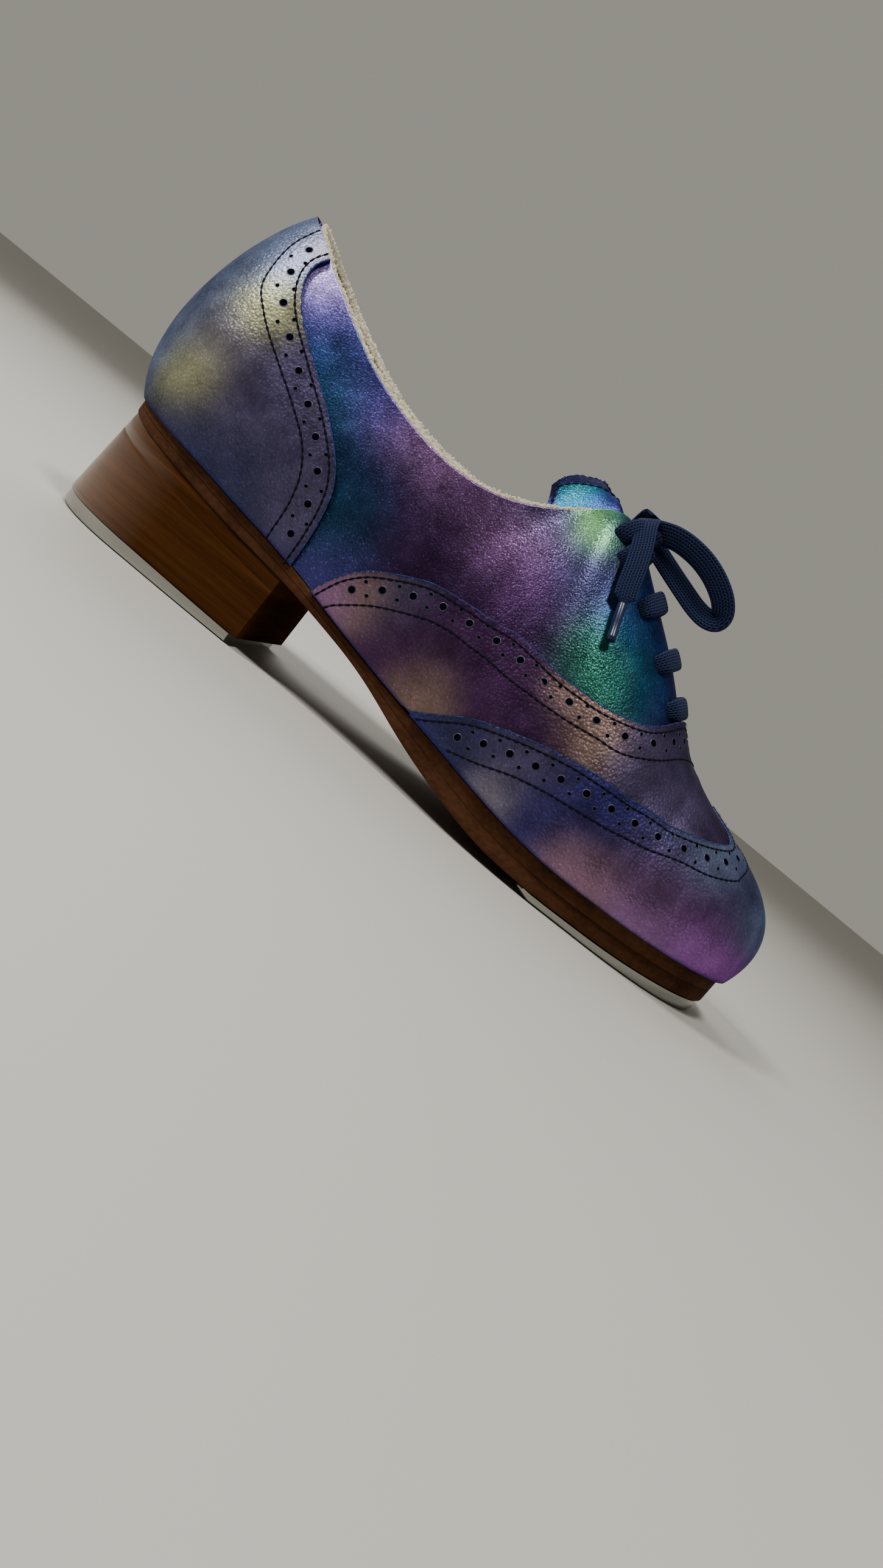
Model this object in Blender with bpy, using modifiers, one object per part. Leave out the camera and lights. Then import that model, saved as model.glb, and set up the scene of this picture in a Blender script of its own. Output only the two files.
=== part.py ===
"""Tap shoe for the right foot: wing-tip leather upper, double sole, wooden heel, two metal taps.

Metres. +X runs from heel to toe, +Y to the inner side of the foot, +Z up.
The origin is on the heel tap's flat face, on the floor below the heel seat.
"""
import math

import bmesh
import bpy
import numpy as np

# Driving dimensions
LENGTH = 0.268          # back of the heel to the tip of the toe
BALL_WIDTH = 0.086      # across the ball, at the sole
HEEL_LIFT = 0.0428      # floor to the upper's lower edge, at the back
BACK_HEIGHT = 0.1164    # floor to the collar, at the back
WALL = 0.0022           # leather and lining together
OVERLAY = 0.0012        # vamp and counter leather
TIP_LEATHER = 0.0018    # wing tip, which lies over the vamp
TONGUE = 0.0024
INSOLE = 0.0025
GAP = 0.0003            # between flat faces that touch
SKIN_GAP = 0.0007       # between curved faces, whose facets then come within about 0.3 mm
TAP_CLEAR = 0.0008      # tap outline inside the sole's and the heel's
TOE_TAP_BACK = 0.147    # X of the toe tap's rear edge
BREAST = 0.0365         # X of the heel's front face
TAP_EDGE = 0.0010       # rounding of the taps' lower edge
HEEL_TAP_FRONT = 0.0032
HEEL_TAP_BACK = 0.0050
SCREW_HEAD = 0.0046
SCREW_BACK = 0.0165     # heel screws behind the tap's front edge
SCREW_FRONT = 0.0110    # toe screws in front of the tap's rear edge
SCREW_SINK = 0.0005     # screw head above the tap's flat face
LACE_WIDTH = 0.0054
LACE_THICK = 0.0016
CORD = 0.0030           # thickness of the plain solids that stand for the bow
AGLET = 0.0028
AGLET_LENGTH = 0.0125

# The way round the last, seen from above: a turn about the toe, a straight, a turn about the heel
TOE_X = 0.634 * LENGTH
HEEL_X = -0.030 * LENGTH
TOE_TURN = 0.494 * BALL_WIDTH
HEEL_TURN = 0.360 * BALL_WIDTH
SWING = 0.047 * BALL_WIDTH      # how far the toe's middle line leans to the inner side
SWING_FROM = 0.224 * LENGTH
TOE_ARC = TOE_TURN * math.pi / 2
HEEL_ARC = HEEL_TURN * math.pi / 2
STRAIGHT = TOE_X - HEEL_X
HALF_WAY = TOE_ARC + STRAIGHT + HEEL_ARC

# Sections of the upper. at: share of the way from toe tip (0) to heel back (1).
# outer, inner: sole edge from the middle line, and out: the first bulge, shares of BALL_WIDTH.
# feather: height of the lower edge, share of HEEL_LIFT. rise, crown: share of BACK_HEIGHT.
# lean: how far the wall leans in below its top, share of BALL_WIDTH.
# rim_out, rim_in: top edge from the middle line, share of BALL_WIDTH.
# top_out, top_in: height of the top edge or ridge, share of BACK_HEIGHT.
COLUMNS = ("at", "outer", "inner", "feather", "out", "rise", "lean", "crown",
           "rim_out", "rim_in", "top_out", "top_in")
SECTIONS = (
    (0.000, 0.547, 0.547, 0.341, 0.122, 0.266, 0.209, -0.099, 0.000, 0.000, 0.491, 0.491),
    (0.080, 0.517, 0.502, 0.332, 0.116, 0.253, 0.221, -0.082, 0.000, 0.000, 0.491, 0.491),
    (0.160, 0.488, 0.449, 0.308, 0.093, 0.215, 0.233, -0.043, 0.000, 0.000, 0.491, 0.491),
    (0.228, 0.500, 0.436, 0.292, 0.076, 0.189, 0.279, 0.000, 0.000, 0.000, 0.491, 0.491),
    (0.300, 0.535, 0.464, 0.287, 0.058, 0.223, 0.256, 0.004, 0.029, 0.029, 0.640, 0.640),
    (0.360, 0.523, 0.443, 0.320, 0.047, 0.258, 0.209, 0.004, 0.047, 0.047, 0.759, 0.759),
    (0.420, 0.481, 0.397, 0.381, 0.041, 0.292, 0.174, -0.013, 0.058, 0.058, 0.870, 0.870),
    (0.455, 0.441, 0.356, 0.418, 0.035, 0.292, 0.151, -0.034, 0.081, 0.081, 0.911, 0.911),
    (0.500, 0.397, 0.324, 0.463, 0.035, 0.258, 0.093, -0.120, 0.174, 0.174, 0.829, 0.846),
    (0.560, 0.360, 0.300, 0.535, 0.035, 0.223, 0.058, -0.172, 0.262, 0.244, 0.732, 0.760),
    (0.620, 0.345, 0.302, 0.621, 0.041, 0.206, 0.052, -0.172, 0.285, 0.262, 0.707, 0.741),
    (0.690, 0.347, 0.323, 0.729, 0.047, 0.206, 0.052, -0.172, 0.285, 0.267, 0.730, 0.756),
    (0.760, 0.352, 0.342, 0.804, 0.052, 0.223, 0.064, -0.189, 0.273, 0.262, 0.790, 0.803),
    (0.834, 0.343, 0.343, 0.883, 0.070, 0.206, 0.105, -0.206, 0.248, 0.248, 0.890, 0.893),
    (0.890, 0.343, 0.343, 0.935, 0.093, 0.189, 0.151, -0.189, 0.233, 0.233, 0.945, 0.945),
    (0.945, 0.344, 0.344, 0.977, 0.128, 0.155, 0.151, -0.155, 0.235, 0.235, 0.983, 0.983),
    (1.000, 0.349, 0.349, 1.000, 0.157, 0.129, 0.151, -0.155, 0.241, 0.241, 1.000, 1.000),
)
THROAT_AT = 0.270       # where the slot between the facings ends
THROAT_ROUND_AT = 0.016

# Edges of the overlays on the wall. at as above; up: share of the way up the wall.
WING_EDGE = (
    (0.000, 0.830), (0.040, 0.765), (0.080, 0.675), (0.110, 0.600), (0.155, 0.540),
    (0.190, 0.500), (0.240, 0.440), (0.275, 0.372), (0.310, 0.318), (0.343, 0.272),
    (0.377, 0.220), (0.410, 0.168), (0.445, 0.112), (0.475, 0.050), (0.492, 0.014),
)
VAMP_EDGE = (
    (0.262, 1.000), (0.270, 0.970), (0.276, 0.920), (0.283, 0.800), (0.295, 0.650), (0.312, 0.545),
    (0.343, 0.456), (0.377, 0.400), (0.410, 0.364), (0.445, 0.345), (0.480, 0.362),
    (0.518, 0.415), (0.552, 0.440), (0.580, 0.400), (0.613, 0.290), (0.635, 0.160),
    (0.650, 0.014),
)
SEAM = 0.008            # between the wing tip's edge and the vamp, share of the way up
COUNTER_EDGE = (
    (0.682, 0.000), (0.683, 0.150), (0.688, 0.310), (0.698, 0.440), (0.718, 0.555),
    (0.752, 0.665), (0.790, 0.730), (0.825, 0.775), (0.846, 0.825), (0.858, 0.880),
    (0.861, 0.940), (0.855, 1.000),
)

# Thickness of the outsole along the foot, in shares of its full thickness at the ball
SOLE_FULL = 0.0100
SOLE_THICKNESS = (
    (0.000, 0.955), (0.080, 0.935), (0.160, 0.925), (0.228, 0.925), (0.300, 0.920),
    (0.360, 0.985), (0.400, 0.960), (0.455, 0.860), (0.500, 0.670), (0.545, 0.450),
    (0.580, 0.370), (0.620, 0.390), (0.660, 0.460), (0.700, 0.540), (1.000, 0.550),
)
SOLE_PROUD = 0.0005     # sole edge outside the upper's lower edge
HEEL_SPREAD = 0.0034    # how far the heel's back leans out from top to bottom
HEEL_SPREAD_SIDE = 0.0004

# The tongue past the top eyelets. x: place of its crown, share of LENGTH. z: its height, share of
# BACK_HEIGHT. half, droop: half its width and how far its sides hang, shares of BALL_WIDTH.
TONGUE_FREE = (
    (0.3862, 0.8729, 0.1453, 0.0930),
    (0.3675, 0.8978, 0.1302, 0.1221),
    (0.3489, 0.9158, 0.1186, 0.1221),
    (0.3302, 0.9270, 0.1442, 0.1105),
    (0.3153, 0.9210, 0.1721, 0.1140),
    (0.3041, 0.9089, 0.1453, 0.0651),
)
TONGUE_UNDER = (0.296, 0.315, 0.340, 0.370, 0.400, 0.428)
TONGUE_SIDE = 0.26      # share of the wall that the tongue lies under, from the facing's edge
TONGUE_CLEAR = 0.0011

# Lace: places of the bars on the wall's way, and the bow's route by hand
BARS_AT = (0.293, 0.332, 0.382, 0.427)
BAR_SIDE = 0.15
BAR_GAP = 0.0008
KNOT_PLACE = (0.1095, 0.0, 0.1105)
KNOT_SIZE = (0.0062, 0.0056, 0.0039)
LOOP_FRONT = (
    (0.1164, 0.0004, 0.1118), (0.1200, 0.0006, 0.1142), (0.1270, 0.0008, 0.1143),
    (0.1360, 0.0010, 0.1118), (0.1440, 0.0010, 0.1080), (0.1480, 0.0006, 0.1030),
    (0.1474, 0.0000, 0.0978), (0.1430, -0.0004, 0.0957), (0.1360, -0.0006, 0.0976),
    (0.1280, -0.0004, 0.0999), (0.1205, 0.0000, 0.1030), (0.1168, 0.0002, 0.1066),
)
LOOP_INNER = (
    (0.1090, 0.0066, 0.1125), (0.1080, 0.0110, 0.1115), (0.1066, 0.0190, 0.1052),
    (0.1055, 0.0270, 0.0960), (0.1052, 0.0320, 0.0850), (0.1070, 0.0340, 0.0760),
    (0.1100, 0.0340, 0.0760), (0.1125, 0.0315, 0.0850), (0.1122, 0.0250, 0.0950),
    (0.1118, 0.0185, 0.1030), (0.1112, 0.0115, 0.1085), (0.1104, 0.0070, 0.1098),
)
END_OUTER = (
    (0.1104, -0.0068, 0.1108), (0.1118, -0.0110, 0.1072), (0.1138, -0.0155, 0.1018),
    (0.1162, -0.0197, 0.0947), (0.1186, -0.0228, 0.0876),
)
END_INNER = (
    (0.1156, 0.0050, 0.1098), (0.1195, 0.0105, 0.1058), (0.1225, 0.0165, 0.0995),
    (0.1248, 0.0215, 0.0915), (0.1262, 0.0250, 0.0830),
)

# Colours and surfaces: colour, roughness, metallic
FINISHES = {
    "upper_leather": ((0.075, 0.055, 0.22), 0.35, 0.25),
    "vamp_leather": ((0.17, 0.13, 0.27), 0.45, 0.20),
    "tip_leather": ((0.12, 0.10, 0.30), 0.45, 0.20),
    "counter_leather": ((0.17, 0.18, 0.32), 0.45, 0.20),
    "tongue_leather": ((0.04, 0.16, 0.33), 0.40, 0.20),
    "lining_insole": ((0.72, 0.66, 0.52), 0.90, 0.0),
    "sole_leather": ((0.16, 0.052, 0.020), 0.65, 0.0),
    "heel_wood": ((0.22, 0.075, 0.025), 0.30, 0.0),
    "tap_metal": ((0.60, 0.59, 0.56), 0.25, 1.0),
    "screw_metal": ((0.50, 0.49, 0.47), 0.30, 1.0),
    "lace_cotton": ((0.022, 0.032, 0.10), 0.85, 0.0),
    "aglet_plastic": ((0.10, 0.16, 0.33), 0.15, 0.0),
}


def through(x, rows, column=1):
    """Smooth curve through a table's rows, level at both ends."""
    table = np.array(rows)
    xs, ys = table[:, 0], table[:, column]
    step = np.diff(xs)
    count = len(xs)
    matrix = np.eye(count)
    right = np.zeros(count)
    for i in range(1, count - 1):
        before, after = step[i - 1], step[i]
        matrix[i, i - 1:i + 2] = after, 2 * (after + before), before
        right[i] = 3 * (after * (ys[i] - ys[i - 1]) / before + before * (ys[i + 1] - ys[i]) / after)
    slope = np.linalg.solve(matrix, right)
    place = np.clip(np.searchsorted(xs, x, side="right") - 1, 0, count - 2)
    t = np.clip((x - xs[place]) / step[place], 0, 1)
    width = step[place]
    return ((1 + 2 * t) * (1 - t) ** 2 * ys[place] + t * (1 - t) ** 2 * width * slope[place]
            + t * t * (3 - 2 * t) * ys[place + 1] + t * t * (t - 1) * width * slope[place + 1])


def section(name, at):
    """One column of SECTIONS, at any share of the way."""
    return through(at, SECTIONS, COLUMNS.index(name))


def plan(q):
    """Foot of each wall section: middle line x and y, and the direction outwards.

    q runs from -1 (heel back) along the outer side to 0 (toe tip), then along the inner side to 1.
    """
    at = np.abs(q)
    side = np.where(q < 0, -1.0, 1.0)
    way = at * HALF_WAY
    turn = (np.clip(way, 0, TOE_ARC) / TOE_TURN
            + np.clip(way - TOE_ARC - STRAIGHT, 0, HEEL_ARC) / HEEL_TURN)
    x = TOE_X - np.clip(way - TOE_ARC, 0, STRAIGHT)
    share = np.clip((x - SWING_FROM) / (TOE_X - SWING_FROM), 0, 1)
    y = SWING * share * share * (3 - 2 * share)
    return at, side, x, y, np.cos(turn), side * np.sin(turn)


def wall(q, up):
    """Outer face of the upper: a cubic in each section, from the sole's edge (up 0) to the top (1)."""
    q, up = np.broadcast_arrays(np.asarray(q, float), np.asarray(up, float))
    at, side, x, y, along, across = plan(q)
    outer = side < 0
    foot = np.where(outer, section("outer", at), section("inner", at)) * BALL_WIDTH
    low = section("feather", at) * HEEL_LIFT
    slot = np.clip((at - THROAT_AT) / THROAT_ROUND_AT, 0, 1)
    rim = np.where(outer, section("rim_out", at), section("rim_in", at)) * BALL_WIDTH * np.sqrt(slot)
    ridge = np.maximum(at, TOE_ARC / HALF_WAY)
    extra = np.where(outer, 0.0, section("top_in", ridge) - section("top_out", ridge)) * slot
    top = (section("top_out", ridge) + extra) * BACK_HEIGHT
    bulge = foot + section("out", at) * BALL_WIDTH
    belly = low + section("rise", at) * BACK_HEIGHT
    shoulder = rim + section("lean", at) * BALL_WIDTH
    neck = top + section("crown", at) * BACK_HEIGHT
    a, b, c, d = (1 - up) ** 3, 3 * up * (1 - up) ** 2, 3 * up * up * (1 - up), up ** 3
    reach = a * foot + b * bulge + c * shoulder + d * rim
    height = a * low + b * belly + c * neck + d * top
    return np.stack([x + reach * along, y + reach * across, height], -1)


def outward(q, up):
    """Direction out of the upper's outer face."""
    step = 0.0005
    middle = np.clip(up, step, 1 - step)
    round_way = wall(np.clip(q + step, -1, 1), middle) - wall(np.clip(q - step, -1, 1), middle)
    climb = wall(q, middle + step) - wall(q, middle - step)
    normal = np.cross(round_way, climb)
    return normal / np.linalg.norm(normal, axis=-1, keepdims=True)


def sole_loop(count, grow, lift, first=0.0):
    """Closed loop beside the sole's edge, from the toe along the outer side, heel and inner side.

    grow is how far it lies outside the upper's lower edge. first cuts the loop off in front,
    so that it starts and ends at that share of the way.
    """
    half = np.linspace(first, 1, count)
    back = half[-2::-1] if first else half[-2:0:-1]
    at, side, x, y, along, across = plan(np.concatenate([-half, back]))
    foot = np.where(side < 0, section("outer", at), section("inner", at)) * BALL_WIDTH
    reach = foot + (grow(at) if callable(grow) else grow)
    height = lift(at) if callable(lift) else np.full_like(at, lift)
    return np.stack([x + reach * along, y + reach * across, height], -1)


def feather(at):
    return section("feather", at) * HEEL_LIFT


def sole_under(at):
    return feather(at) - GAP - through(at, SOLE_THICKNESS) * SOLE_FULL


def new_collection(name):
    group = bpy.data.collections.new(name)
    bpy.context.scene.collection.children.link(group)
    return group


def finish(name):
    """Material of one finish, made once."""
    found = bpy.data.materials.get(name)
    if found:
        return found
    colour, rough, metal = FINISHES[name]
    material = bpy.data.materials.new(name)
    material.use_nodes = True
    shader = material.node_tree.nodes["Principled BSDF"]
    shader.inputs["Base Color"].default_value = (*colour, 1)
    shader.inputs["Roughness"].default_value = rough
    shader.inputs["Metallic"].default_value = metal
    material.diffuse_color = (*colour, 1)
    return material


def add(name, shape, material, group):
    """Put a bmesh, mesh or curve into the scene as one named object."""
    if isinstance(shape, bmesh.types.BMesh):
        data = bpy.data.meshes.new(name)
        shape.to_mesh(data)
        shape.free()
    else:
        data = shape
    thing = bpy.data.objects.new(name, data)
    if material:
        data.materials.append(finish(material))
    group.objects.link(thing)
    return thing


def sheet(points, close=False):
    """Surface over a grid of points [column][row], with points that fall together merged."""
    shape = bmesh.new()
    rows = [[shape.verts.new(p) for p in column] for column in points]
    last = len(rows) if close else len(rows) - 1
    for i in range(last):
        here, there = rows[i], rows[(i + 1) % len(rows)]
        for j in range(len(here) - 1):
            shape.faces.new((here[j], there[j], there[j + 1], here[j + 1]))
    bmesh.ops.remove_doubles(shape, verts=shape.verts, dist=0.0001)
    bmesh.ops.dissolve_degenerate(shape, edges=shape.edges, dist=0.00002)
    return shape


def thicken(thing, thickness, outwards):
    """Give a surface its real thickness, on its outer or inner side."""
    solid = thing.modifiers.new("wall", "SOLIDIFY")
    solid.thickness = thickness
    solid.offset = 1 if outwards else -1
    solid.use_even_offset = True
    solid.use_quality_normals = True
    return thing


def over(q, up, height=SKIN_GAP):
    """Points at one height above the upper's outer face.

    On the closed ridge in front of the throat both sides take one direction, so that they meet.
    """
    q, up = np.broadcast_arrays(q, up)
    closed = (up > 0.999) & (np.abs(q) < THROAT_AT)
    near = np.maximum(np.abs(q), TOE_ARC / HALF_WAY)
    both = outward(near, up) + outward(-near, up)
    both /= np.linalg.norm(both, axis=-1, keepdims=True)
    return wall(q, up) + np.where(closed[..., None], both, outward(q, up)) * height


def slab(loops):
    """Closed solid through stacked loops, each end capped by rungs across the loop."""
    shape = bmesh.new()
    rings = [[shape.verts.new(p) for p in loop] for loop in loops]
    count = len(rings[0])
    for below, above in zip(rings, rings[1:]):
        for i in range(count):
            k = (i + 1) % count
            shape.faces.new((below[i], below[k], above[k], above[i]))
    for ring in (rings[0], rings[-1]):
        low, high = 0, count - 1
        if count % 2 == 0:
            shape.faces.new((ring[0], ring[1], ring[count - 1]))
            low = 1
        while high - low > 2:
            shape.faces.new((ring[low], ring[low + 1], ring[high - 1], ring[high]))
            low, high = low + 1, high - 1
        shape.faces.new(ring[low:high + 1])
    bmesh.ops.recalc_face_normals(shape, faces=shape.faces)
    return shape


def smooth_route(points, spacing):
    """Points read at an even spacing from a smooth curve through the route's own points."""
    knots = np.array(points)
    ends = np.vstack([2 * knots[0] - knots[1], knots, 2 * knots[-1] - knots[-2]])
    t = np.linspace(0, 1, 20, endpoint=False)[:, None]
    parts = []
    for a, b, c, d in zip(ends, ends[1:], ends[2:], ends[3:]):
        parts.append(0.5 * (2 * b + (c - a) * t + (2 * a - 5 * b + 4 * c - d) * t ** 2
                            + (3 * b - a - 3 * c + d) * t ** 3))
    dense = np.vstack(parts + [knots[-1:]])
    run = np.concatenate([[0], np.cumsum(np.linalg.norm(np.diff(dense, axis=0), axis=1))])
    even = np.linspace(0, run[-1], max(3, int(run[-1] / spacing) + 1))
    return np.stack([np.interp(even, run, dense[:, k]) for k in range(3)], -1)


def cord(name, points, thickness, material, group):
    """Round cord along a route."""
    route = smooth_route(points, 2.7 * thickness)
    curve = bpy.data.curves.new(name, "CURVE")
    curve.dimensions = "3D"
    curve.bevel_depth = thickness / 2
    curve.bevel_resolution = 2
    curve.use_fill_caps = True
    line = curve.splines.new("POLY")
    line.points.add(len(route) - 1)
    for point, place in zip(line.points, route):
        point.co = (*place, 1)
    return add(name, curve, material, group)


# Upper and its overlays
def make_upper(group):
    """One hollow wall round the last: closed over the toe, open at throat, collar and underneath."""
    turn = 1 - HEEL_ARC / HALF_WAY
    half = np.concatenate([np.linspace(0, THROAT_AT, 12), THROAT_AT + np.array([0.006, 0.013]),
                           np.linspace(THROAT_AT + 0.025, turn, 20), np.linspace(turn, 1, 10)[1:]])
    q = np.concatenate([-half[::-1], half[1:-1]])
    up = np.linspace(0, 1, 10)
    points = wall(q[:, None], up[None, :])
    shape = sheet(points, close=True)
    thicken(add("upper", shape, "upper_leather", group), WALL, outwards=False)


def band_columns(table, last):
    """Columns for a band round the toe: the table's own places and even ones between them."""
    own = [row[0] for row in table if row[0] <= last]
    even = np.arange(0, last, 0.0215)
    kept = sorted(own + [x for x in even if min(abs(x - y) for y in own) > 0.009])
    return np.unique(kept)


def make_band(name, half, lower, upper, rows, thickness, material, group):
    """Overlay round the toe between two edges on the wall, lying on the upper."""
    q = np.concatenate([-half[:0:-1], half])
    at = np.abs(q)
    low, high = lower(at), upper(at)
    share = np.linspace(0, 1, rows)
    up = low[:, None] + (high - low)[:, None] * share[None, :]
    shape = sheet(over(q[:, None], up))
    return thicken(add(name, shape, material, group), thickness, outwards=True)


def wing_edge(at):
    return np.interp(at, *np.array(WING_EDGE).T)


def vamp_edge(at):
    return np.interp(at, *np.array(VAMP_EDGE).T)


def make_wing_tip(group):
    half = band_columns(WING_EDGE, WING_EDGE[-1][0])
    make_band("wing_tip", half, lambda at: 0 * at, wing_edge, 7, TIP_LEATHER, "tip_leather", group)


def make_vamp(group):
    """Vamp between the wing tip's edge and its own curved top edge."""
    meeting = WING_EDGE + ((WING_EDGE[-1][0] + 2 * SEAM, -SEAM),)
    half = band_columns(VAMP_EDGE + meeting[:3] + meeting[-3:], VAMP_EDGE[-1][0])

    def lower(at):
        return np.maximum(np.interp(at, *np.array(meeting).T) + SEAM, 0)

    make_band("vamp", half, lower, vamp_edge, 6, OVERLAY, "vamp_leather", group)


def make_counter(group):
    """Heel counter with its curved front edges, from the sole to the collar."""
    edge = np.array(COUNTER_EDGE)
    up = np.linspace(0, 1, 13)
    start = np.interp(up, edge[:, 1], edge[:, 0])
    share = np.linspace(0, 1, 14)
    half = start[None, :] + (1 - start)[None, :] * share[:, None]
    q = np.vstack([half, -half[::-1][1:]])
    shape = sheet(over(q, up[None, :], SKIN_GAP + 0.0001))
    thicken(add("heel_counter", shape, "counter_leather", group), OVERLAY, outwards=True)


def make_tongue(group):
    """Tongue that follows the inside of the facings, then rises free above them."""
    share = np.linspace(0, 1, 5)
    columns = []
    for at in TONGUE_UNDER:
        sides = []
        for sign in (-1, 1):
            up = 1 - TONGUE_SIDE * share
            q = np.full(len(up), sign * at)
            sides.append(wall(q, up) - outward(q, up) * (WALL + TONGUE_CLEAR))
        outer, inner = sides
        columns.append(np.vstack([inner[::-1], outer]))
    spread = np.linspace(1, -1, 10)
    for x, z, half, droop in TONGUE_FREE:
        height = z * BACK_HEIGHT - droop * BALL_WIDTH * spread ** 2
        columns.append(np.stack([np.full(10, x * LENGTH), spread * half * BALL_WIDTH, height], -1))
    shape = sheet(np.array(columns))
    thicken(add("tongue", shape, "tongue_leather", group), TONGUE, outwards=False)


# Sole, heel and taps
def make_sole(group):
    loops = [
        sole_loop(34, SOLE_PROUD - 0.0009, sole_under),
        sole_loop(34, SOLE_PROUD, lambda at: sole_under(at) + 0.0008),
        sole_loop(34, SOLE_PROUD, lambda at: feather(at) - GAP - 0.0005),
        sole_loop(34, SOLE_PROUD - 0.0006, lambda at: feather(at) - GAP),
    ]
    add("outsole", slab(loops), "sole_leather", group)


def make_insole(group):
    inset = -(WALL + 0.0012)
    loops = [
        sole_loop(26, inset, feather),
        sole_loop(26, inset, lambda at: feather(at) + INSOLE),
    ]
    add("insole", slab(loops), "lining_insole", group)


def way_at(x):
    """Share of the way at which the straight part passes a place along the foot."""
    return (TOE_ARC + TOE_X - x) / HALF_WAY


def heel_grow(share):
    """How far the heel's wall stands outside the upper's lower edge, share 0 top to 1 bottom."""
    def grow(at):
        back = np.clip((at - way_at(HEEL_X)) * HALF_WAY / HEEL_ARC, 0, 1)
        turn = np.sin(back * math.pi / 2) ** 2
        return share * (HEEL_SPREAD_SIDE + (HEEL_SPREAD - HEEL_SPREAD_SIDE) * turn)
    return grow


def tap_top(x):
    """Height of the heel tap's upper face."""
    back = HEEL_X - HEEL_TURN
    return HEEL_TAP_BACK + (HEEL_TAP_FRONT - HEEL_TAP_BACK) * (x - back) / (BREAST - back)


def with_height(loop, height):
    loop = np.array(loop)
    loop[:, 2] = height(loop[:, 0]) if callable(height) else height
    return loop


def make_heel(group):
    first = way_at(BREAST)
    top = sole_loop(18, heel_grow(0), lambda at: sole_under(at) - GAP, first)
    foot = with_height(sole_loop(18, heel_grow(1), 0.0, first), lambda x: tap_top(x) + GAP)
    add("heel_block", slab([foot, top]), "heel_wood", group)


def inset_loop(loop, amount):
    """Loop moved towards its own middle by about one amount all round."""
    middle = loop.mean(axis=0)
    away = loop - middle
    away[:, 2] = 0
    length = np.linalg.norm(away, axis=1)[:, None]
    return loop - away / length * amount


def drill(plate, places, group, cutters, top):
    """Three screws of a tap and the holes that they sit in."""
    for number, (x, y) in enumerate(places, 1):
        upper = top(x) if callable(top) else top
        hole = bmesh.new()
        bmesh.ops.create_cone(hole, cap_ends=True, segments=16, radius1=SCREW_HEAD / 2 + GAP,
                              radius2=SCREW_HEAD / 2 + GAP, depth=0.02)
        cutter = add(f"{plate.name}_hole_{number}", hole, None, cutters)
        cutter.location = (x, y, 0)
        cutter.hide_render = True
        cutter.display_type = "WIRE"
        cut = plate.modifiers.new(f"hole_{number}", "BOOLEAN")
        cut.operation = "DIFFERENCE"
        cut.solver = "EXACT"
        cut.object = cutter
        screw = bmesh.new()
        bmesh.ops.create_cone(screw, cap_ends=True, segments=16, radius1=SCREW_HEAD / 2,
                              radius2=SCREW_HEAD / 2 - 0.0004, depth=upper - SCREW_SINK)
        fixed = add(f"{plate.name}_screw_{number}", screw, "screw_metal", group)
        fixed.location = (x, y, (upper + SCREW_SINK) / 2)
    weld = plate.modifiers.new("weld", "WELD")
    weld.merge_threshold = 0.00002


def make_heel_tap(group, cutters):
    first = way_at(BREAST - 0.0025)
    edge = inset_loop(sole_loop(18, heel_grow(1), 0.0, first), TAP_CLEAR / 2)
    loops = [
        with_height(inset_loop(edge, 1.6 * TAP_EDGE), 0.0),
        with_height(inset_loop(edge, 0.4 * TAP_EDGE), 0.4 * TAP_EDGE),
        with_height(edge, 1.4 * TAP_EDGE),
        with_height(edge, tap_top),
    ]
    plate = add("heel_tap", slab(loops), "tap_metal", group)
    apart = 0.198 * BALL_WIDTH
    front = BREAST - SCREW_BACK
    places = ((HEEL_X - 0.58 * HEEL_TURN, 0.0), (front, -apart), (front, apart))
    drill(plate, places, group, cutters, tap_top)


def toe_tap_loop(inset):
    """Tap outline: the sole's edge round the toe and a nearly straight rear edge."""
    last = way_at(TOE_TAP_BACK)
    half = np.linspace(0, last, 16)
    at, side, x, y, along, across = plan(np.concatenate([-half, half[:0:-1]]))
    foot = np.where(side < 0, section("outer", at), section("inner", at)) * BALL_WIDTH
    corner = np.clip(1 - (last - at) * HALF_WAY / 0.006, 0, 1)
    reach = foot + SOLE_PROUD - TAP_CLEAR - inset - 0.0030 * corner ** 2
    loop = np.stack([x + reach * along, y + reach * across, 0 * at], -1)
    loop[:, 0] += inset * corner
    return at, loop


def make_toe_tap(group, cutters):
    loops = []
    for inset, height in ((1.6 * TAP_EDGE, 0.0), (0.4 * TAP_EDGE, 0.4 * TAP_EDGE), (0.0, 1.4 * TAP_EDGE)):
        loops.append(with_height(toe_tap_loop(inset)[1], height))
    at, loop = toe_tap_loop(0.0)
    loop[:, 2] = sole_under(at) - GAP
    loops.append(loop)
    plate = add("toe_tap", slab(loops), "tap_metal", group)
    rear = TOE_TAP_BACK + SCREW_FRONT
    places = ((rear, -0.256 * BALL_WIDTH), (rear, 0.326 * BALL_WIDTH), (TOE_X + 0.755 * TOE_TURN, SWING))
    drill(plate, places, group, cutters, float(sole_under(0.2)) - 2 * GAP)


# Lace
def make_bars(group):
    """Flat bars of lace across the slot, from eyelet to eyelet."""
    for number, at in enumerate(BARS_AT, 1):
        half = LACE_WIDTH / 2 / HALF_WAY
        share = np.linspace(0, 1, 6)
        columns = []
        for place in (at + half, at, at - half):
            outer = over(-place, 1 - BAR_SIDE * share[::-1], BAR_GAP)
            inner = over(place, 1 - BAR_SIDE * share, BAR_GAP)
            columns.append(np.vstack([outer, inner]))
        shape = sheet(np.array(columns))
        thicken(add(f"lace_bar_{number}", shape, "lace_cotton", group), LACE_THICK, outwards=True)


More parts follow.
